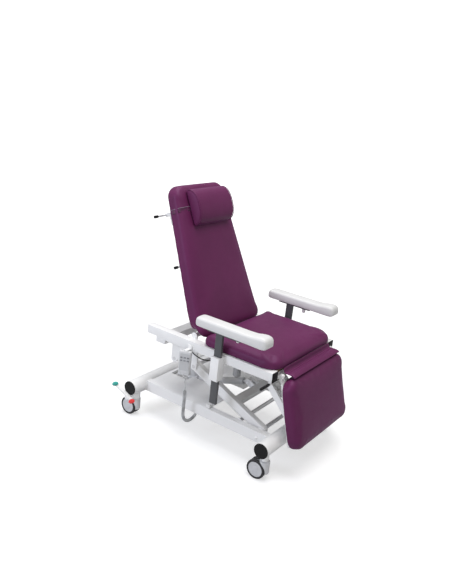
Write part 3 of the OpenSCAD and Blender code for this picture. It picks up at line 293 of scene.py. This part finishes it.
THREAD = braided("pale_thread", (0.34, 0.24, 0.34))
slot_of = {s["node"]: s["material_slot"] for s in frame["record"]["subparts"]}
for name, obj in nodes.items():
    obj.data.materials.clear()
    obj.data.materials.append(M[slot_of[name]])


# ---------------------------------------------------------------- mesh tools
def make(name, verts, faces, material, smooth=True):
    me = bpy.data.meshes.new(name)
    me.from_pydata([tuple(v) for v in verts], [], faces)
    me.validate()
    me.update()
    bm = bmesh.new()
    bm.from_mesh(me)
    bmesh.ops.recalc_face_normals(bm, faces=bm.faces)
    bm.to_mesh(me)
    bm.free()
    if smooth:
        me.shade_smooth()
    me.materials.append(material)
    o = bpy.data.objects.new(name, me)
    scene.collection.objects.link(o)
    return o


def loft(rings):
    """Vertices and faces of a skin over a row of closed rings, with both ends closed."""
    n = len(rings[0])
    verts = [p for r in rings for p in r]
    faces = [[k * n + i, k * n + (i + 1) % n, (k + 1) * n + (i + 1) % n, (k + 1) * n + i]
             for k in range(len(rings) - 1) for i in range(n)]
    faces.append(list(range(n))[::-1])
    faces.append([(len(rings) - 1) * n + i for i in range(n)])
    return verts, faces


def apply_modifiers(o):
    dg = bpy.context.evaluated_depsgraph_get()
    me = bpy.data.meshes.new_from_object(o.evaluated_get(dg))
    old = o.data
    o.modifiers.clear()
    o.data = me
    bpy.data.meshes.remove(old)


WELD = 1e-5
FLAT_ANGLE = 1.0
EDGE_ANGLE = 35
EDGE_SEGMENTS = 3


def rounded_copy(node, width):
    """A CAD node's own shape with its sharp edges rounded, standing for that node."""
    src = nodes[node]
    me = src.data.copy()
    o = bpy.data.objects.new(node + "_dressed", me)
    scene.collection.objects.link(o)
    bm = bmesh.new()
    bm.from_mesh(me)
    bmesh.ops.remove_doubles(bm, verts=bm.verts, dist=WELD)
    bmesh.ops.dissolve_limit(bm, angle_limit=math.radians(FLAT_ANGLE), verts=bm.verts, edges=bm.edges)
    bm.to_mesh(me)
    bm.free()
    bev = o.modifiers.new("bevel", "BEVEL")
    bev.width, bev.segments = width, EDGE_SEGMENTS
    bev.limit_method, bev.angle_limit = "ANGLE", math.radians(EDGE_ANGLE)
    bev.harden_normals = False
    apply_modifiers(o)
    o.data.shade_smooth()
    o.data.materials.clear()
    o.data.materials.append(M[slot_of[node]])
    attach(o, src["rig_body"])
    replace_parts(o, node)


CLOTH_FRAMES = 20
CLOTH_PRESSURE = 4.0
CLOTH_STIFFNESS = 40
CLOTH_BENDING = 5


def simulate(o, voxel, cap, pinned):
    """Cloth: remesh, inflate, cap the movement, apply, one subdivision."""
    rem = o.modifiers.new("remesh", "REMESH")
    rem.mode, rem.voxel_size = "VOXEL", voxel
    apply_modifiers(o)
    rest = [v.co.copy() for v in o.data.vertices]
    group = o.vertex_groups.new(name="pin")
    group.add([i for i, p in enumerate(rest) if pinned(p)], 1.0, "REPLACE")
    cloth = o.modifiers.new("cloth", "CLOTH")
    cloth.settings.vertex_group_mass = "pin"
    cloth.settings.use_pressure = True
    cloth.settings.uniform_pressure_force = CLOTH_PRESSURE
    cloth.settings.tension_stiffness = CLOTH_STIFFNESS
    cloth.settings.compression_stiffness = CLOTH_STIFFNESS
    cloth.settings.bending_stiffness = CLOTH_BENDING
    cloth.settings.effector_weights.gravity = 0
    cloth.settings.quality = 4
    cloth.point_cache.frame_start, cloth.point_cache.frame_end = 1, CLOTH_FRAMES
    for f in range(1, CLOTH_FRAMES + 1):
        scene.frame_set(f)
    apply_modifiers(o)
    scene.frame_set(1)
    for v, p in zip(o.data.vertices, rest):
        d = v.co - p
        if d.length > cap:
            v.co = p + d * (cap / d.length)
    o.vertex_groups.clear()
    smooth = o.modifiers.new("smooth", "SMOOTH")
    smooth.iterations, smooth.factor = 6, 0.5
    sub = o.modifiers.new("subdivision", "SUBSURF")
    sub.levels = sub.render_levels = 1
    apply_modifiers(o)
    o.data.shade_smooth()


# ---------------------------------------------------------------- cushions
CORNER_STEPS = 8
RISE = (0, 0.1, 0.34, 0.6, 0.72, 0.84, 0.96, 1)     # shares of a wall's height, for tables of its undercut
BOTTOM_EDGE = 0.012
SIDE_DRAW = 0.05
SIDE_STEPS = 5
CROWN_RINGS = (0.9, 0.78, 0.62, 0.44, 0.26, 0.1)
CROWN_CURVE = 0.8


def slab_ring(a, b, l, corners, inset, z, low, high):
    """One outline of a pad, a and b half its width at its two ends, drawn in by inset, and by more at the ends."""
    rr, qq = (max(c - inset, 0.001) for c in corners)
    low, high = max(inset, low), max(inset, high)
    out = []
    for cx, cy, start, rad in ((a - inset - rr, -l / 2 + low + rr, -90, rr),
                               (b - inset - qq, l / 2 - high - qq, 0, qq),
                               (-b + inset + qq, l / 2 - high - qq, 90, qq),
                               (-a + inset + rr, -l / 2 + low + rr, 180, rr)):
        for k in range(CORNER_STEPS + 1):
            t = math.radians(start + 90 * k / CORNER_STEPS)
            out.append(Vector((cx + rad * math.cos(t), cy + rad * math.sin(t), z)))
    return out


def between(table, u):
    """The table's value at share u of the wall's height."""
    for k in range(len(RISE) - 1):
        if u <= RISE[k + 1]:
            f = (u - RISE[k]) / (RISE[k + 1] - RISE[k])
            return table[k] + (table[k + 1] - table[k]) * f
    return table[-1]


def slab(a, b, l, t, crown, edge, corners, fall=1.0, under=0.0, foot=None, top=None):
    """Foam pad: flat base, sides drawn in a little, round top edge, crowned face, undercut ends."""
    wall = t - crown
    steps = [(0.3, 0.0, 1), (0.16, 0.001, 1), (0.07, 0.004, 1), (0.03, 0.009, 1)]
    steps += [(SIDE_DRAW * math.sin(math.pi * k / SIDE_STEPS),
               BOTTOM_EDGE + (wall - edge - BOTTOM_EDGE) * k / SIDE_STEPS, 1) for k in range(SIDE_STEPS + 1)]
    for k in range(1, CORNER_STEPS + 1):
        q = math.radians(90 * k / CORNER_STEPS)
        steps.append((1 - math.cos(q), wall - edge + edge * math.sin(q), 1 + (fall - 1) * math.sin(q)))
    rings = []
    for share, z, f in steps:
        u = z / wall
        low = max(edge * share * f, under * between(foot, u) if foot else 0)
        high = under * between(top, u) if top else 0
        rings.append(slab_ring(a, b, l, corners, edge * share, z, low, high))
    rim = rings[-1]
    for s in CROWN_RINGS:
        rings.append([Vector((p.x * s, p.y * s, wall + crown * (1 - s * s) ** CROWN_CURVE)) for p in rim])
    return loft(rings)


BACK_PIVOT, BACK_TILT = (0, 0.1305, 0.560), -23.5
LEG_PIVOT, LEG_TILT = (0, -0.390, 0.520), -15.2
UPRIGHT = Matrix.Rotation(math.radians(90), 4, "X")


def tilted(pivot, degrees, y, z):
    return (Matrix.Translation(pivot) @ Matrix.Rotation(math.radians(degrees), 4, "X")
            @ Matrix.Translation((0, y, z)))


def at_back(y=0.0, z=0.0):
    """A place in the backrest's own axes, from its pivot."""
    return tilted(BACK_PIVOT, BACK_TILT, y, z)


def at_leg(y=0.0, z=0.0):
    """A place in the leg section's own axes, from its pivot."""
    return tilted(LEG_PIVOT, LEG_TILT, y, z)


SWELL = 0.0025      # room left on each side for what the simulation adds
PINNED_BASE = 0.004
surfaces = {}


def cushion(name, node, body, place, sizes, corners, voxel, **ends):
    """A padded piece. Its sizes: half widths at both ends, length, thickness, crown, round edge."""
    a, b, l, t, crown, edge = sizes
    g = SWELL
    o = make(name, *slab(a - g, b - g, l - 2 * g, t - g, crown, edge, corners, **ends), M["vinyl"])
    simulate(o, voxel, 0.006, lambda p: p.z < PINNED_BASE)
    surfaces[node] = BVHTree.FromPolygons([place @ v.co for v in o.data.vertices],
                                          [f.vertices[:] for f in o.data.polygons])
    o.matrix_world = place
    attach(o, body)
    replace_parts(o, node)


cushion("seat_pad", "seat_cushion", "seat", Matrix.Translation((0, -0.163, 0.5475)),
        (0.300, 0.300, 0.446, 0.065, 0.011, 0.034), (0.082, 0.040), 0.007, fall=1.5)
cushion("back_pad", "back_cushion", "backrest", at_back(0.010, -0.036 + 0.401) @ UPRIGHT,
        (0.274, 0.214, 0.802, 0.077, 0.007, 0.026), (0.058, 0.072), 0.008,
        under=0.054, foot=(1, 1.05, 1, 0.2, 0.12, 0.06, 0, 0))
cushion("leg_pad", "leg_cushion", "leg_section", at_leg(-0.003, -0.004 - 0.185) @ UPRIGHT,
        (0.273, 0.273, 0.370, 0.068, 0.008, 0.024), (0.062, 0.062), 0.007,
        under=0.018, top=(1, 0.9, 0.5, 0.1, 0, 0, 0, 0))


def headrest():
    """Half-round roll with its end panels sewn on along a raised seam."""
    length, height, depth = 0.290, 0.190, 0.064
    middle, half_face, arc = -0.033, 0.49, 32
    prof = []
    for k in range(arc + 1):
        q = math.pi * k / arc
        c, s = math.cos(q), math.sin(q)
        prof.append((-depth * abs(s) ** 0.78,
                     height * half_face + height * half_face * (abs(c) ** 0.86) * (1 if c >= 0 else -1)))
    prof += [(0, height * f) for f in (0.1, 0.3, 0.5, 0.7, 0.9)]
    panel = ((0.5, 0.2), (0.5, 0.6), (0.5, 0.86), (0.494, 0.955), (0.486, 0.992), (0.47, 1.0), (0.3, 1.012))
    stations = [(-x, k) for x, k in panel] + [(0, 1.018)] + [(x, k) for x, k in panel[::-1]]
    rings = []
    for x, k in stations:
        rings.append([Vector((x * length, middle + (y - middle) * k if k < 0.99 else y * k,
                              height / 2 + (z - height / 2) * k)) for y, z in prof])
    o = make("headrest_roll", *loft(rings), M["vinyl"])
    simulate(o, 0.005, 0.004, lambda p: p.y > -0.003)
    place = at_back(-0.070, 0.538)
    o.matrix_world = place
    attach(o, "headrest")
    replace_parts(o, "headrest")
    for s in (-1, 1):
        pts = [Vector((s * length * 0.4885, y * 0.992, height / 2 + (z - height / 2) * 0.99)) for y, z in prof[1:arc]]
        seam = tube("headrest_seam_" + ("r" if s < 0 else "l"), pts, 0.0016, M["vinyl"], 6)
        seam.matrix_world = place
        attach(seam, "headrest")


def frames_along(pts):
    """Ring axes carried along a path without twisting."""
    out = []
    last = None
    for i, p in enumerate(pts):
        t = (pts[min(i + 1, len(pts) - 1)] - pts[max(i - 1, 0)]).normalized()
        if last is None:
            u = t.orthogonal().normalized()
        else:
            u = (last - t * last.dot(t)).normalized()
        last = u
        out.append((u, t.cross(u)))
    return out


def tube(name, pts, r, material, sides):
    """A round rod of radius r along a row of points."""
    turn = [2 * math.pi * k / sides for k in range(sides)]
    rings = [[p + (u * math.cos(a) + v * math.sin(a)) * r for a in turn]
             for p, (u, v) in zip(pts, frames_along(pts))]
    return make(name, *loft(rings), material)


headrest()


BAND_LOW, BAND_WIDTH = 0.619, 0.024
BAND_HALF, BAND_FRONT, BAND_REAR, BAND_CORNER = 0.240, -0.085, 0.020, 0.030
BAND_SECTION = ((0.0014, 0), (0.0014, 0.25), (0.0014, 0.5), (0.0014, 0.75), (0.0014, 1),
                (-0.0004, 1), (-0.0004, 0.5), (-0.0004, 0))     # height off the pad, share of the width
PAD_REACH = 0.06
OFF_PAD = 0.012


def strap():
    """Elastic band round the backrest pad, lying on its crowned face and rounded sides, with a pale sewn edge."""
    place, pad = at_back(), surfaces["back_cushion"]
    turn, home = place.to_3x3(), place.inverted()
    half, front, rear, r = BAND_HALF, BAND_FRONT, BAND_REAR, BAND_CORNER
    ring = []
    for cx, cy, start in ((half - r, front + r, -90), (half - r, rear - r, 0),
                          (-half + r, rear - r, 90), (-half + r, front + r, 180)):
        for k in range(CORNER_STEPS + 1):
            q = math.radians(start + 90 * k / CORNER_STEPS)
            ring.append((cx + r * math.cos(q), cy + r * math.sin(q), math.cos(q), math.sin(q)))
    full = []
    for a, b in zip(ring, ring[1:] + ring[:1]):
        parts = 16 if abs(a[0] - b[0]) > 0.1 else 3 if abs(a[1] - b[1]) > 0.03 else 1
        full += [tuple(u + (v - u) * s / parts for u, v in zip(a, b)) for s in range(parts)]
    rows = []
    for x, y, c, s in full:
        ends = []
        for z in (BAND_LOW, BAND_LOW + BAND_WIDTH):
            hit = pad.ray_cast(place @ Vector((x, y, z)), turn @ Vector((-c, -s, 0)), PAD_REACH)[0]
            ends.append(home @ hit if hit else Vector((x - OFF_PAD * c, y - OFF_PAD * s, z)))
        rows.append((*ends, Vector((c, s, 0))))
    n, m = len(rows), len(BAND_SECTION)
    even = []
    for i in range(n):
        near = [rows[(i + d) % n] for d in (-1, 0, 1)]
        even.append([sum((row[e] for row in near), Vector()) / 3 for e in (0, 1)] + [rows[i][2]])
    verts = [a + (b - a) * h + out * d for a, b, out in even for d, h in BAND_SECTION]
    faces = [[i * m + j, i * m + (j + 1) % m, ((i + 1) % n) * m + (j + 1) % m, ((i + 1) % n) * m + j]
             for i in range(n) for j in range(m)]
    o = make("headrest_band", verts, faces, STRAP)
    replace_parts(o, "headrest_strap")
    line = [a + (b - a) * 0.93 + out * 0.0021 for a, b, out in even]
    edge = tube("headrest_band_edge", line + line[:1], 0.0010, THREAD, 6)
    for piece in (o, edge):
        piece.matrix_world = place
        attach(piece, "headrest")


strap()


LINE_STEPS = 5


def smooth_line(pts):
    """A curve through a row of points."""
    out = []
    for k in range(len(pts) - 1):
        a, b, c, d = (Vector(pts[min(max(k + m, 0), len(pts) - 1)]) for m in (-1, 0, 1, 2))
        for s in range(LINE_STEPS):
            u = s / LINE_STEPS
            bend = (2 * a - 5 * b + 4 * c - d) * u ** 2 + (3 * b - a - 3 * c + d) * u ** 3
            out.append(0.5 * (2 * b + (c - a) * u + bend))
    return out + [Vector(pts[-1])]


FLAP_OUTER = [(-0.3862, 0.5600), (-0.3892, 0.5530), (-0.3908, 0.5455), (-0.3945, 0.5392), (-0.4000, 0.5366),
              (-0.4065, 0.5402), (-0.4130, 0.5372), (-0.4200, 0.5398), (-0.4290, 0.5404), (-0.4380, 0.5384),
              (-0.4460, 0.5346), (-0.4520, 0.5290)]
FLAP_INNER = [(-0.4500, 0.5262), (-0.4440, 0.5296), (-0.4360, 0.5325), (-0.4200, 0.5343), (-0.4065, 0.5345),
              (-0.3960, 0.5338), (-0.3885, 0.5410), (-0.3845, 0.5560)]
FLAP_HALF = 0.228
FLAP_STEPS = 72
FLAT_HALF = 0.211       # beyond it the strip drops round the pad's corner
DROP_RADIUS = 0.062
END_FADE = 0.02         # over it the pleats flatten to the level of FLAP_REST
FLAP_REST = 0.534


def pleat_wave(x, u):
    """Slow and quick unevenness of the pleats, the same at each run."""
    return noise.noise(Vector((x * 9, u * 2.5, 0.3))) + 0.5 * noise.noise(Vector((x * 26, u * 5, 1.7)))


def flap():
    """Gathered vinyl strip across the hinge: long pleats between the seat's front and the leg section's head."""
    outer, inner = smooth_line(FLAP_OUTER), smooth_line(FLAP_INNER)
    rings = []
    for i in range(FLAP_STEPS + 1):
        x = -FLAP_HALF + 2 * FLAP_HALF * i / FLAP_STEPS
        full = min(1.0, max(0.0, FLAP_HALF - abs(x)) / END_FADE) ** 0.5
        slack = max(0.0, abs(x) - FLAT_HALF)
        drop = DROP_RADIUS - math.sqrt(DROP_RADIUS ** 2 - slack ** 2)
        ring = []
        for k, p in enumerate(outer):
            u = k / (len(outer) - 1)
            wave = pleat_wave(x, u)
            z = p.y + 0.0010 * wave - drop * u
            if z > FLAP_REST:
                z = FLAP_REST + (z - FLAP_REST) * (0.45 + 0.55 * full)
            ring.append(Vector((x, p.x + 0.0016 * wave * math.sin(math.pi * u), z)))
        for k, p in enumerate(inner):
            u = 1 - k / (len(inner) - 1)
            ring.append(Vector((x, p.x + 0.0016 * pleat_wave(x, u) * math.sin(math.pi * u), p.y - drop * u)))
        rings.append(ring)
    o = make("hinge_strip", *loft(rings), M["vinyl"])
    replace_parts(o, "hinge_flap")
    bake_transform(o)


flap()


LEAD_POINTS = ((-0.330, 0.102, 0.374), (-0.330, 0.102, 0.364), (-0.330, 0.104, 0.354), (-0.331, 0.106, 0.344),
               (-0.331, 0.106, 0.334), (-0.330, 0.104, 0.322), (-0.330, 0.102, 0.310), (-0.330, 0.102, 0.302))
CURL_START = (-0.330, 0.102, 0.296)
CURL_DROP = 0.296 - 0.1568      # straight down, before the bend under the side member
CURL_BEND = 0.065
CURL_OUTER = 0.018
CURLS, CURL_STEPS = 50, 16
CORD_WIRE = 0.0046


def curly_cord():
    """Straight lead out of the handset, then the curls down and round under the side member."""
    start, wire, total = Vector(CURL_START), CORD_WIRE, CURL_DROP + math.pi * CURL_BEND
    reach = (CURL_OUTER - wire) / 2
    pts = [Vector(p) for p in LEAD_POINTS]
    for i in range(CURLS * CURL_STEPS + 1):
        s = total * i / (CURLS * CURL_STEPS)
        if s < CURL_DROP:
            mid, inward = start - Vector((0, 0, s)), Vector((1, 0, 0))
        else:
            g = (s - CURL_DROP) / CURL_BEND
            mid = start - Vector((0, 0, CURL_DROP)) + CURL_BEND * Vector((1 - math.cos(g), 0, -math.sin(g)))
            inward = Vector((math.cos(g), 0, math.sin(g)))
        k = reach * min(1, max(0, (s - wire) / (2 * wire)), max(0, (total - s - wire) / (2 * wire)))
        a = 2 * math.pi * i / CURL_STEPS
        pts.append(mid + k * (math.cos(a) * inward + math.sin(a) * Vector((0, 1, 0))))
    o = tube("handset_cord", pts, wire / 2, M["cord_grey"], 8)
    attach(o, "base")
    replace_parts(o, "handset_lead", "handset_curl")


curly_cord()


MOTOR_LEAD_MM = ((-262, 172, 478), (-262, 162, 478), (-261, 150, 475), (-258, 134, 468), (-254, 118, 458),
                 (-249, 102, 449), (-242, 88, 443), (-232, 74, 438), (-218, 62, 434), (-200, 50, 431),
                 (-180, 38, 429), (-160, 26, 427), (-142, 14, 426), (-126, 2, 425), (-112, -6, 424),
                 (-102, -9, 424), (-93, -9, 424))
MOTOR_LEAD_WIDE = 0.006


def motor_lead():
    """The recline motor's cable, from the end of its wrap."""
    pts = [Vector(p) / 1000 for p in MOTOR_LEAD_MM]
    o = tube("motor_lead", pts, MOTOR_LEAD_WIDE / 2, M["cable_black"], 10)
    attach(o, "seat")
    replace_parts(o, "motor_cable")


motor_lead()


# ---------------------------------------------------------------- moulded pieces
def through(xs, ys, x):
    """A smooth curve through a table of values, without overshoot."""
    k = 0
    while k < len(xs) - 2 and x > xs[k + 1]:
        k += 1
    grad = [(ys[i + 1] - ys[i]) / (xs[i + 1] - xs[i]) for i in range(len(xs) - 1)]

    def slope(i):
        if i == 0 or i == len(xs) - 1:
            return grad[min(i, len(grad) - 1)]
        a, b = grad[i - 1], grad[i]
        return 0.0 if a * b <= 0 else 2 * a * b / (a + b)

    h = xs[k + 1] - xs[k]
    t = min(1, max(0, (x - xs[k]) / h))
    return ((2 * t ** 3 - 3 * t ** 2 + 1) * ys[k] + (t ** 3 - 2 * t ** 2 + t) * h * slope(k)
            + (3 * t ** 2 - 2 * t ** 3) * ys[k + 1] + (t ** 3 - t ** 2) * h * slope(k + 1))


CORNER_CUT = 0.16


def softened(ring):
    """A closed outline with its corners cut twice."""
    for _ in range(2):
        ring = [(a[0] + (b[0] - a[0]) * share, a[1] + (b[1] - a[1]) * share)
                for a, b in zip(ring, ring[1:] + ring[:1]) for share in (CORNER_CUT, 1 - CORNER_CUT)]
    return ring


ARM_ALONG = (0, 0.012, 0.05, 0.12, 0.3, 0.66, 0.78, 0.85, 0.91, 0.955, 0.985, 1)
ARM_WIDTH = (0.8, 0.9, 0.98, 1, 1, 1, 1.02, 1.08, 1.1, 1.06, 0.92, 0.68)
ARM_HEIGHT = (0.82, 0.94, 1, 1, 1, 1, 1.03, 1.14, 1.2, 1.16, 0.98, 0.66)
ARM_LOW = (0.14, 0.04, 0, 0, 0, 0, 0, 0, 0, 0.02, 0.1, 0.24)
ARM_OUTLINE = [(-0.43, 0), (-0.49, 0.1), (-0.5, 0.4), (-0.475, 0.8), (-0.40, 0.955), (-0.24, 1.0), (0, 1.008),
               (0.24, 1.0), (0.40, 0.955), (0.475, 0.8), (0.5, 0.4), (0.49, 0.1), (0.43, 0), (0, 0)]
ARM_STOPS = ([0, 0.004, 0.012, 0.024, 0.05, 0.08] + [0.12 + 0.54 * k / 8 for k in range(9)]
             + [0.66 + 0.30 * k / 18 for k in range(1, 19)] + [0.968, 0.976, 0.984, 0.992, 1])
ARM_ENDS = (0.3, 0.7, 0.93)
ARM_SIZE = (0.075, 0.408, 0.046)
ARM_REAR, ARM_BOTTOM, ARM_OUT = 0.054, 0.669, 0.327


def armrest(side, s):
    """Moulded pad: soft chamfered edges, drawn-in ends and a raised round front."""
    wide, length, thick = ARM_SIZE
    outline = softened(ARM_OUTLINE)
    stations = [(0, k) for k in ARM_ENDS] + [(f, 1) for f in ARM_STOPS] + [(1, k) for k in ARM_ENDS[::-1]]
    rings = []
    for f, shrink in stations:
        w, h, z0 = (through(ARM_ALONG, table, f) for table in (ARM_WIDTH, ARM_HEIGHT, ARM_LOW))
        mid = z0 + 0.5 * (h - z0)
        rings.append([Vector((x * wide * w * shrink, ARM_REAR - f * length,
                              ARM_BOTTOM + thick * (mid + (z0 + z * (h - z0) - mid) * shrink)))
                      for x, z in outline])
    o = make("armrest_pad_" + side, *loft(rings), M["armrest_white"])
    o.matrix_world = Matrix.Translation((s * ARM_OUT, 0, 0))
    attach(o, "armrest_" + side)
    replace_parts(o, "arm_pad_" + side)


armrest("r", -1)
armrest("l", 1)


WRAP_FROM, WRAP_TO = 0.172, 0.292
WRAP_TURNS, WRAP_STEPS, WRAP_SIDES = 11, 14, 20
WRAP_RADIUS, WRAP_GROOVE, GROOVE_HALF = 0.0065, 0.0011, 0.1


def spiral_wrap():
    """White spiral band round the motor cable."""
    rings = []
    for i in range(WRAP_TURNS * WRAP_STEPS + 1):
        f = i / (WRAP_TURNS * WRAP_STEPS)
        ring = []
        for k in range(WRAP_SIDES):
            a = 2 * math.pi * k / WRAP_SIDES
            phase = (f * WRAP_TURNS - k / WRAP_SIDES) % 1.0
            r = WRAP_RADIUS - (WRAP_GROOVE if min(phase, 1 - phase) < GROOVE_HALF else 0)
            ring.append(Vector((-0.262 + r * math.cos(a), WRAP_FROM + (WRAP_TO - WRAP_FROM) * f,
                                0.478 + r * math.sin(a))))
        rings.append(ring)
    o = make("spiral_wrap", *loft(rings), M["fitting_white"])
    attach(o, "seat")
    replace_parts(o, "cable_wrap")


spiral_wrap()


def rounded_rect(a, b, r, steps=5):
    """A rectangle of half sizes a and b with round corners."""
    out = []
    for cx, cy, start in ((a - r, -b + r, -90), (a - r, b - r, 0), (-a + r, b - r, 90), (-a + r, -b + r, 180)):
        for k in range(steps + 1):
            t = math.radians(start + 90 * k / steps)
            out.append((cx + r * math.cos(t), cy + r * math.sin(t)))
    return out


# height, half thickness, half width and corner of each ring
HANDSET_SHELL = ((-0.0535, 0.0085, 0.0265, 0.006), (-0.0535, 0.0100, 0.0290, 0.007), (-0.052, 0.0107, 0.0298, 0.007),
                 (-0.04, 0.0109, 0.0300, 0.007), (0.0, 0.0113, 0.0306, 0.007), (0.04, 0.0117, 0.0316, 0.007),
                 (0.058, 0.0119, 0.0319, 0.007), (0.0625, 0.0115, 0.0315, 0.007), (0.0648, 0.0102, 0.0302, 0.007),
                 (0.0658, 0.0080, 0.0280, 0.006), (0.0658, 0.005, 0.02, 0.004))
HANDSET_LIP = ((-0.066, 0.004, 0.014, 0.003), (-0.066, 0.0074, 0.0235, 0.006), (-0.0648, 0.0092, 0.0262, 0.007),
               (-0.0625, 0.0104, 0.0285, 0.007), (-0.059, 0.0112, 0.0302, 0.007), (-0.0555, 0.0114, 0.0306, 0.007),
               (-0.0542, 0.0110, 0.0302, 0.007), (-0.0542, 0.0085, 0.0270, 0.006))
KEY_PANEL = ((-0.0100, 1.0), (-0.01218, 1.0), (-0.01245, 0.985), (-0.01245, 0.6), (-0.01245, 0.2))
PANEL_MIDDLE = 0.008


def handset():
    """Slim remote: waisted shell, paler lip at the lower end, darker key panel."""
    place = Matrix.Translation((-0.336, 0.114, 0.440)) @ Matrix.Rotation(math.radians(24), 4, "Z")

    def placed(name, rings, material, smooth=True):
        o = make(name, *loft(rings), material, smooth)
        o.matrix_world = place
        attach(o, "seat")
        return o

    def shell(name, stops, material):
        return placed(name, [[Vector((x, y, z)) for x, y in rounded_rect(t, w, r)] for z, t, w, r in stops], material)

    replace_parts(shell("handset_shell", HANDSET_SHELL, M["handset_grey"]), "handset")
    shell("handset_lip", HANDSET_LIP, M["motor_light"])
    outline = rounded_rect(0.0245, 0.046, 0.006, 6)
    placed("handset_panel", [[Vector((x, u * k, PANEL_MIDDLE + v * k)) for u, v in outline] for x, k in KEY_PANEL],
           M["panel_grey"], smooth=False)


handset()


# ---------------------------------------------------------------- dressed CAD pieces
EDGES_MM = {"base_cover": 1.2, "side_fittings": 1.6, "arm_sleeves": 2.5, "handset_keys": 0.5, "handset_hook": 1.2,
            "arm_post_r": 1.8, "arm_post_l": 1.8, "control_box": 2.0, "seat_frame": 1.6, "lift_arms": 2.2,
            "guide_arms": 1.8, "back_frame": 1.6, "lift_motor": 1.5, "back_motor": 1.5, "leg_motor": 1.5,
            "brake_pad_rear": 1.4, "brake_pad_front": 1.4, "rail_caps": 1.5, "arm_plate_r": 1.2, "arm_plate_l": 1.2}
for node, edge in EDGES_MM.items():
    rounded_copy(node, edge / 1000)


# ---------------------------------------------------------------- stage
FLOOR_TURN = 34.3
FLOOR_HALF = 7
FLOOR_PROFILE = ([(-6, 0.0), (4, 0.0)]
                 + [(4 + 1.5 * math.sin(math.radians(a)), 1.5 - 1.5 * math.cos(math.radians(a)))
                    for a in range(10, 91, 10)] + [(5.5, 7)])
GLOW_FROM, GLOW_TO = (1.3, 0.54), (5.0, 0.95)       # distance from the chair's middle, strength
WORLD_MATT, WORLD_GLOSSY, WORLD_SEEN = 0.40, 0.72, 1.0


def floor_material():
    """Pale matt floor that fades to white away from the chair, for the camera alone."""
    mat = bpy.data.materials.new("floor")
    mat.use_nodes = True
    nt = mat.node_tree
    nt.nodes.clear()

    def node(kind):
        return nt.nodes.new("ShaderNode" + kind)

    out, cloud, tint = node("OutputMaterial"), node("TexNoise"), node("ValToRGB")
    matt, glow = node("BsdfDiffuse"), node("Emission")
    place, far, rise = node("NewGeometry"), node("VectorMath"), node("MapRange")
    both, pick, path = node("AddShader"), node("MixShader"), node("LightPath")
    cloud.inputs["Scale"].default_value = 1.5
    tint.color_ramp.elements[0].color = (0.60, 0.60, 0.605, 1)
    tint.color_ramp.elements[1].color = (0.64, 0.64, 0.64, 1)
    far.operation = "LENGTH"
    for end, (distance, strength) in (("Min", GLOW_FROM), ("Max", GLOW_TO)):
        rise.inputs["From " + end].default_value = distance
        rise.inputs["To " + end].default_value = strength
    for a, b in ((place.outputs["Position"], far.inputs[0]), (far.outputs["Value"], rise.inputs["Value"]),
                 (rise.outputs["Result"], glow.inputs["Strength"]), (cloud.outputs["Fac"], tint.inputs["Fac"]),
                 (tint.outputs["Color"], matt.inputs["Color"]), (matt.outputs[0], both.inputs[0]),
                 (glow.outputs[0], both.inputs[1]), (path.outputs["Is Camera Ray"], pick.inputs["Fac"]),
                 (matt.outputs[0], pick.inputs[1]), (both.outputs[0], pick.inputs[2]),
                 (pick.outputs[0], out.inputs["Surface"])):
        nt.links.new(a, b)
    return mat


def floor():
    """A floor that curves up into the backdrop."""
    me = bpy.data.meshes.new("floor")
    pts = [(d, s, z) for d, z in FLOOR_PROFILE for s in (-FLOOR_HALF, FLOOR_HALF)]
    faces = [[2 * i, 2 * i + 2, 2 * i + 3, 2 * i + 1] for i in range(len(FLOOR_PROFILE) - 1)]
    me.from_pydata(pts, [], faces)
    me.shade_smooth()
    o = bpy.data.objects.new("floor", me)
    o.matrix_world = Matrix.Rotation(math.radians(FLOOR_TURN), 4, "Z")
    scene.collection.objects.link(o)
    me.materials.append(floor_material())


def white_world():
    """White surroundings: full strength for the camera, less for reflections, least for matt light."""
    world = bpy.data.worlds.new("world")
    scene.world = world
    world.use_nodes = True
    nt = world.node_tree
    background = nt.nodes["Background"]
    background.inputs["Color"].default_value = (1, 1, 1, 1)
    path = nt.nodes.new("ShaderNodeLightPath")
    lit, seen = (nt.nodes.new("ShaderNodeMapRange") for _ in range(2))
    lit.inputs["To Min"].default_value = WORLD_MATT
    lit.inputs["To Max"].default_value = WORLD_GLOSSY
    seen.inputs["To Max"].default_value = WORLD_SEEN
    nt.links.new(path.outputs["Is Glossy Ray"], lit.inputs["Value"])
    nt.links.new(lit.outputs["Result"], seen.inputs["To Min"])
    nt.links.new(path.outputs["Is Camera Ray"], seen.inputs["Value"])
    nt.links.new(seen.outputs["Result"], background.inputs["Strength"])


def lamp(name, where, to, size, power, colour=(1, 1, 1)):
    """A round area lamp, aimed."""
    data = bpy.data.lights.new(name, "AREA")
    data.shape, data.size, data.energy, data.color = "DISK", size, power, colour
    o = bpy.data.objects.new(name, data)
    o.location = where
    o.rotation_mode = "QUATERNION"
    o.rotation_quaternion = (Vector(to) - Vector(where)).to_track_quat("-Z", "Y")
    scene.collection.objects.link(o)


floor()
white_world()
lamp("key", (-0.7, -1.1, 4.3), (0, 0, 0.6), 2.0, 68, (1.0, 0.985, 0.97))
lamp("left", (-3.6, 1.2, 2.0), (0, 0, 0.7), 1.6, 52, (0.82, 0.86, 1.0))
lamp("top", (0.2, 0.9, 4.3), (0, 0, 0.5), 3.2, 84)
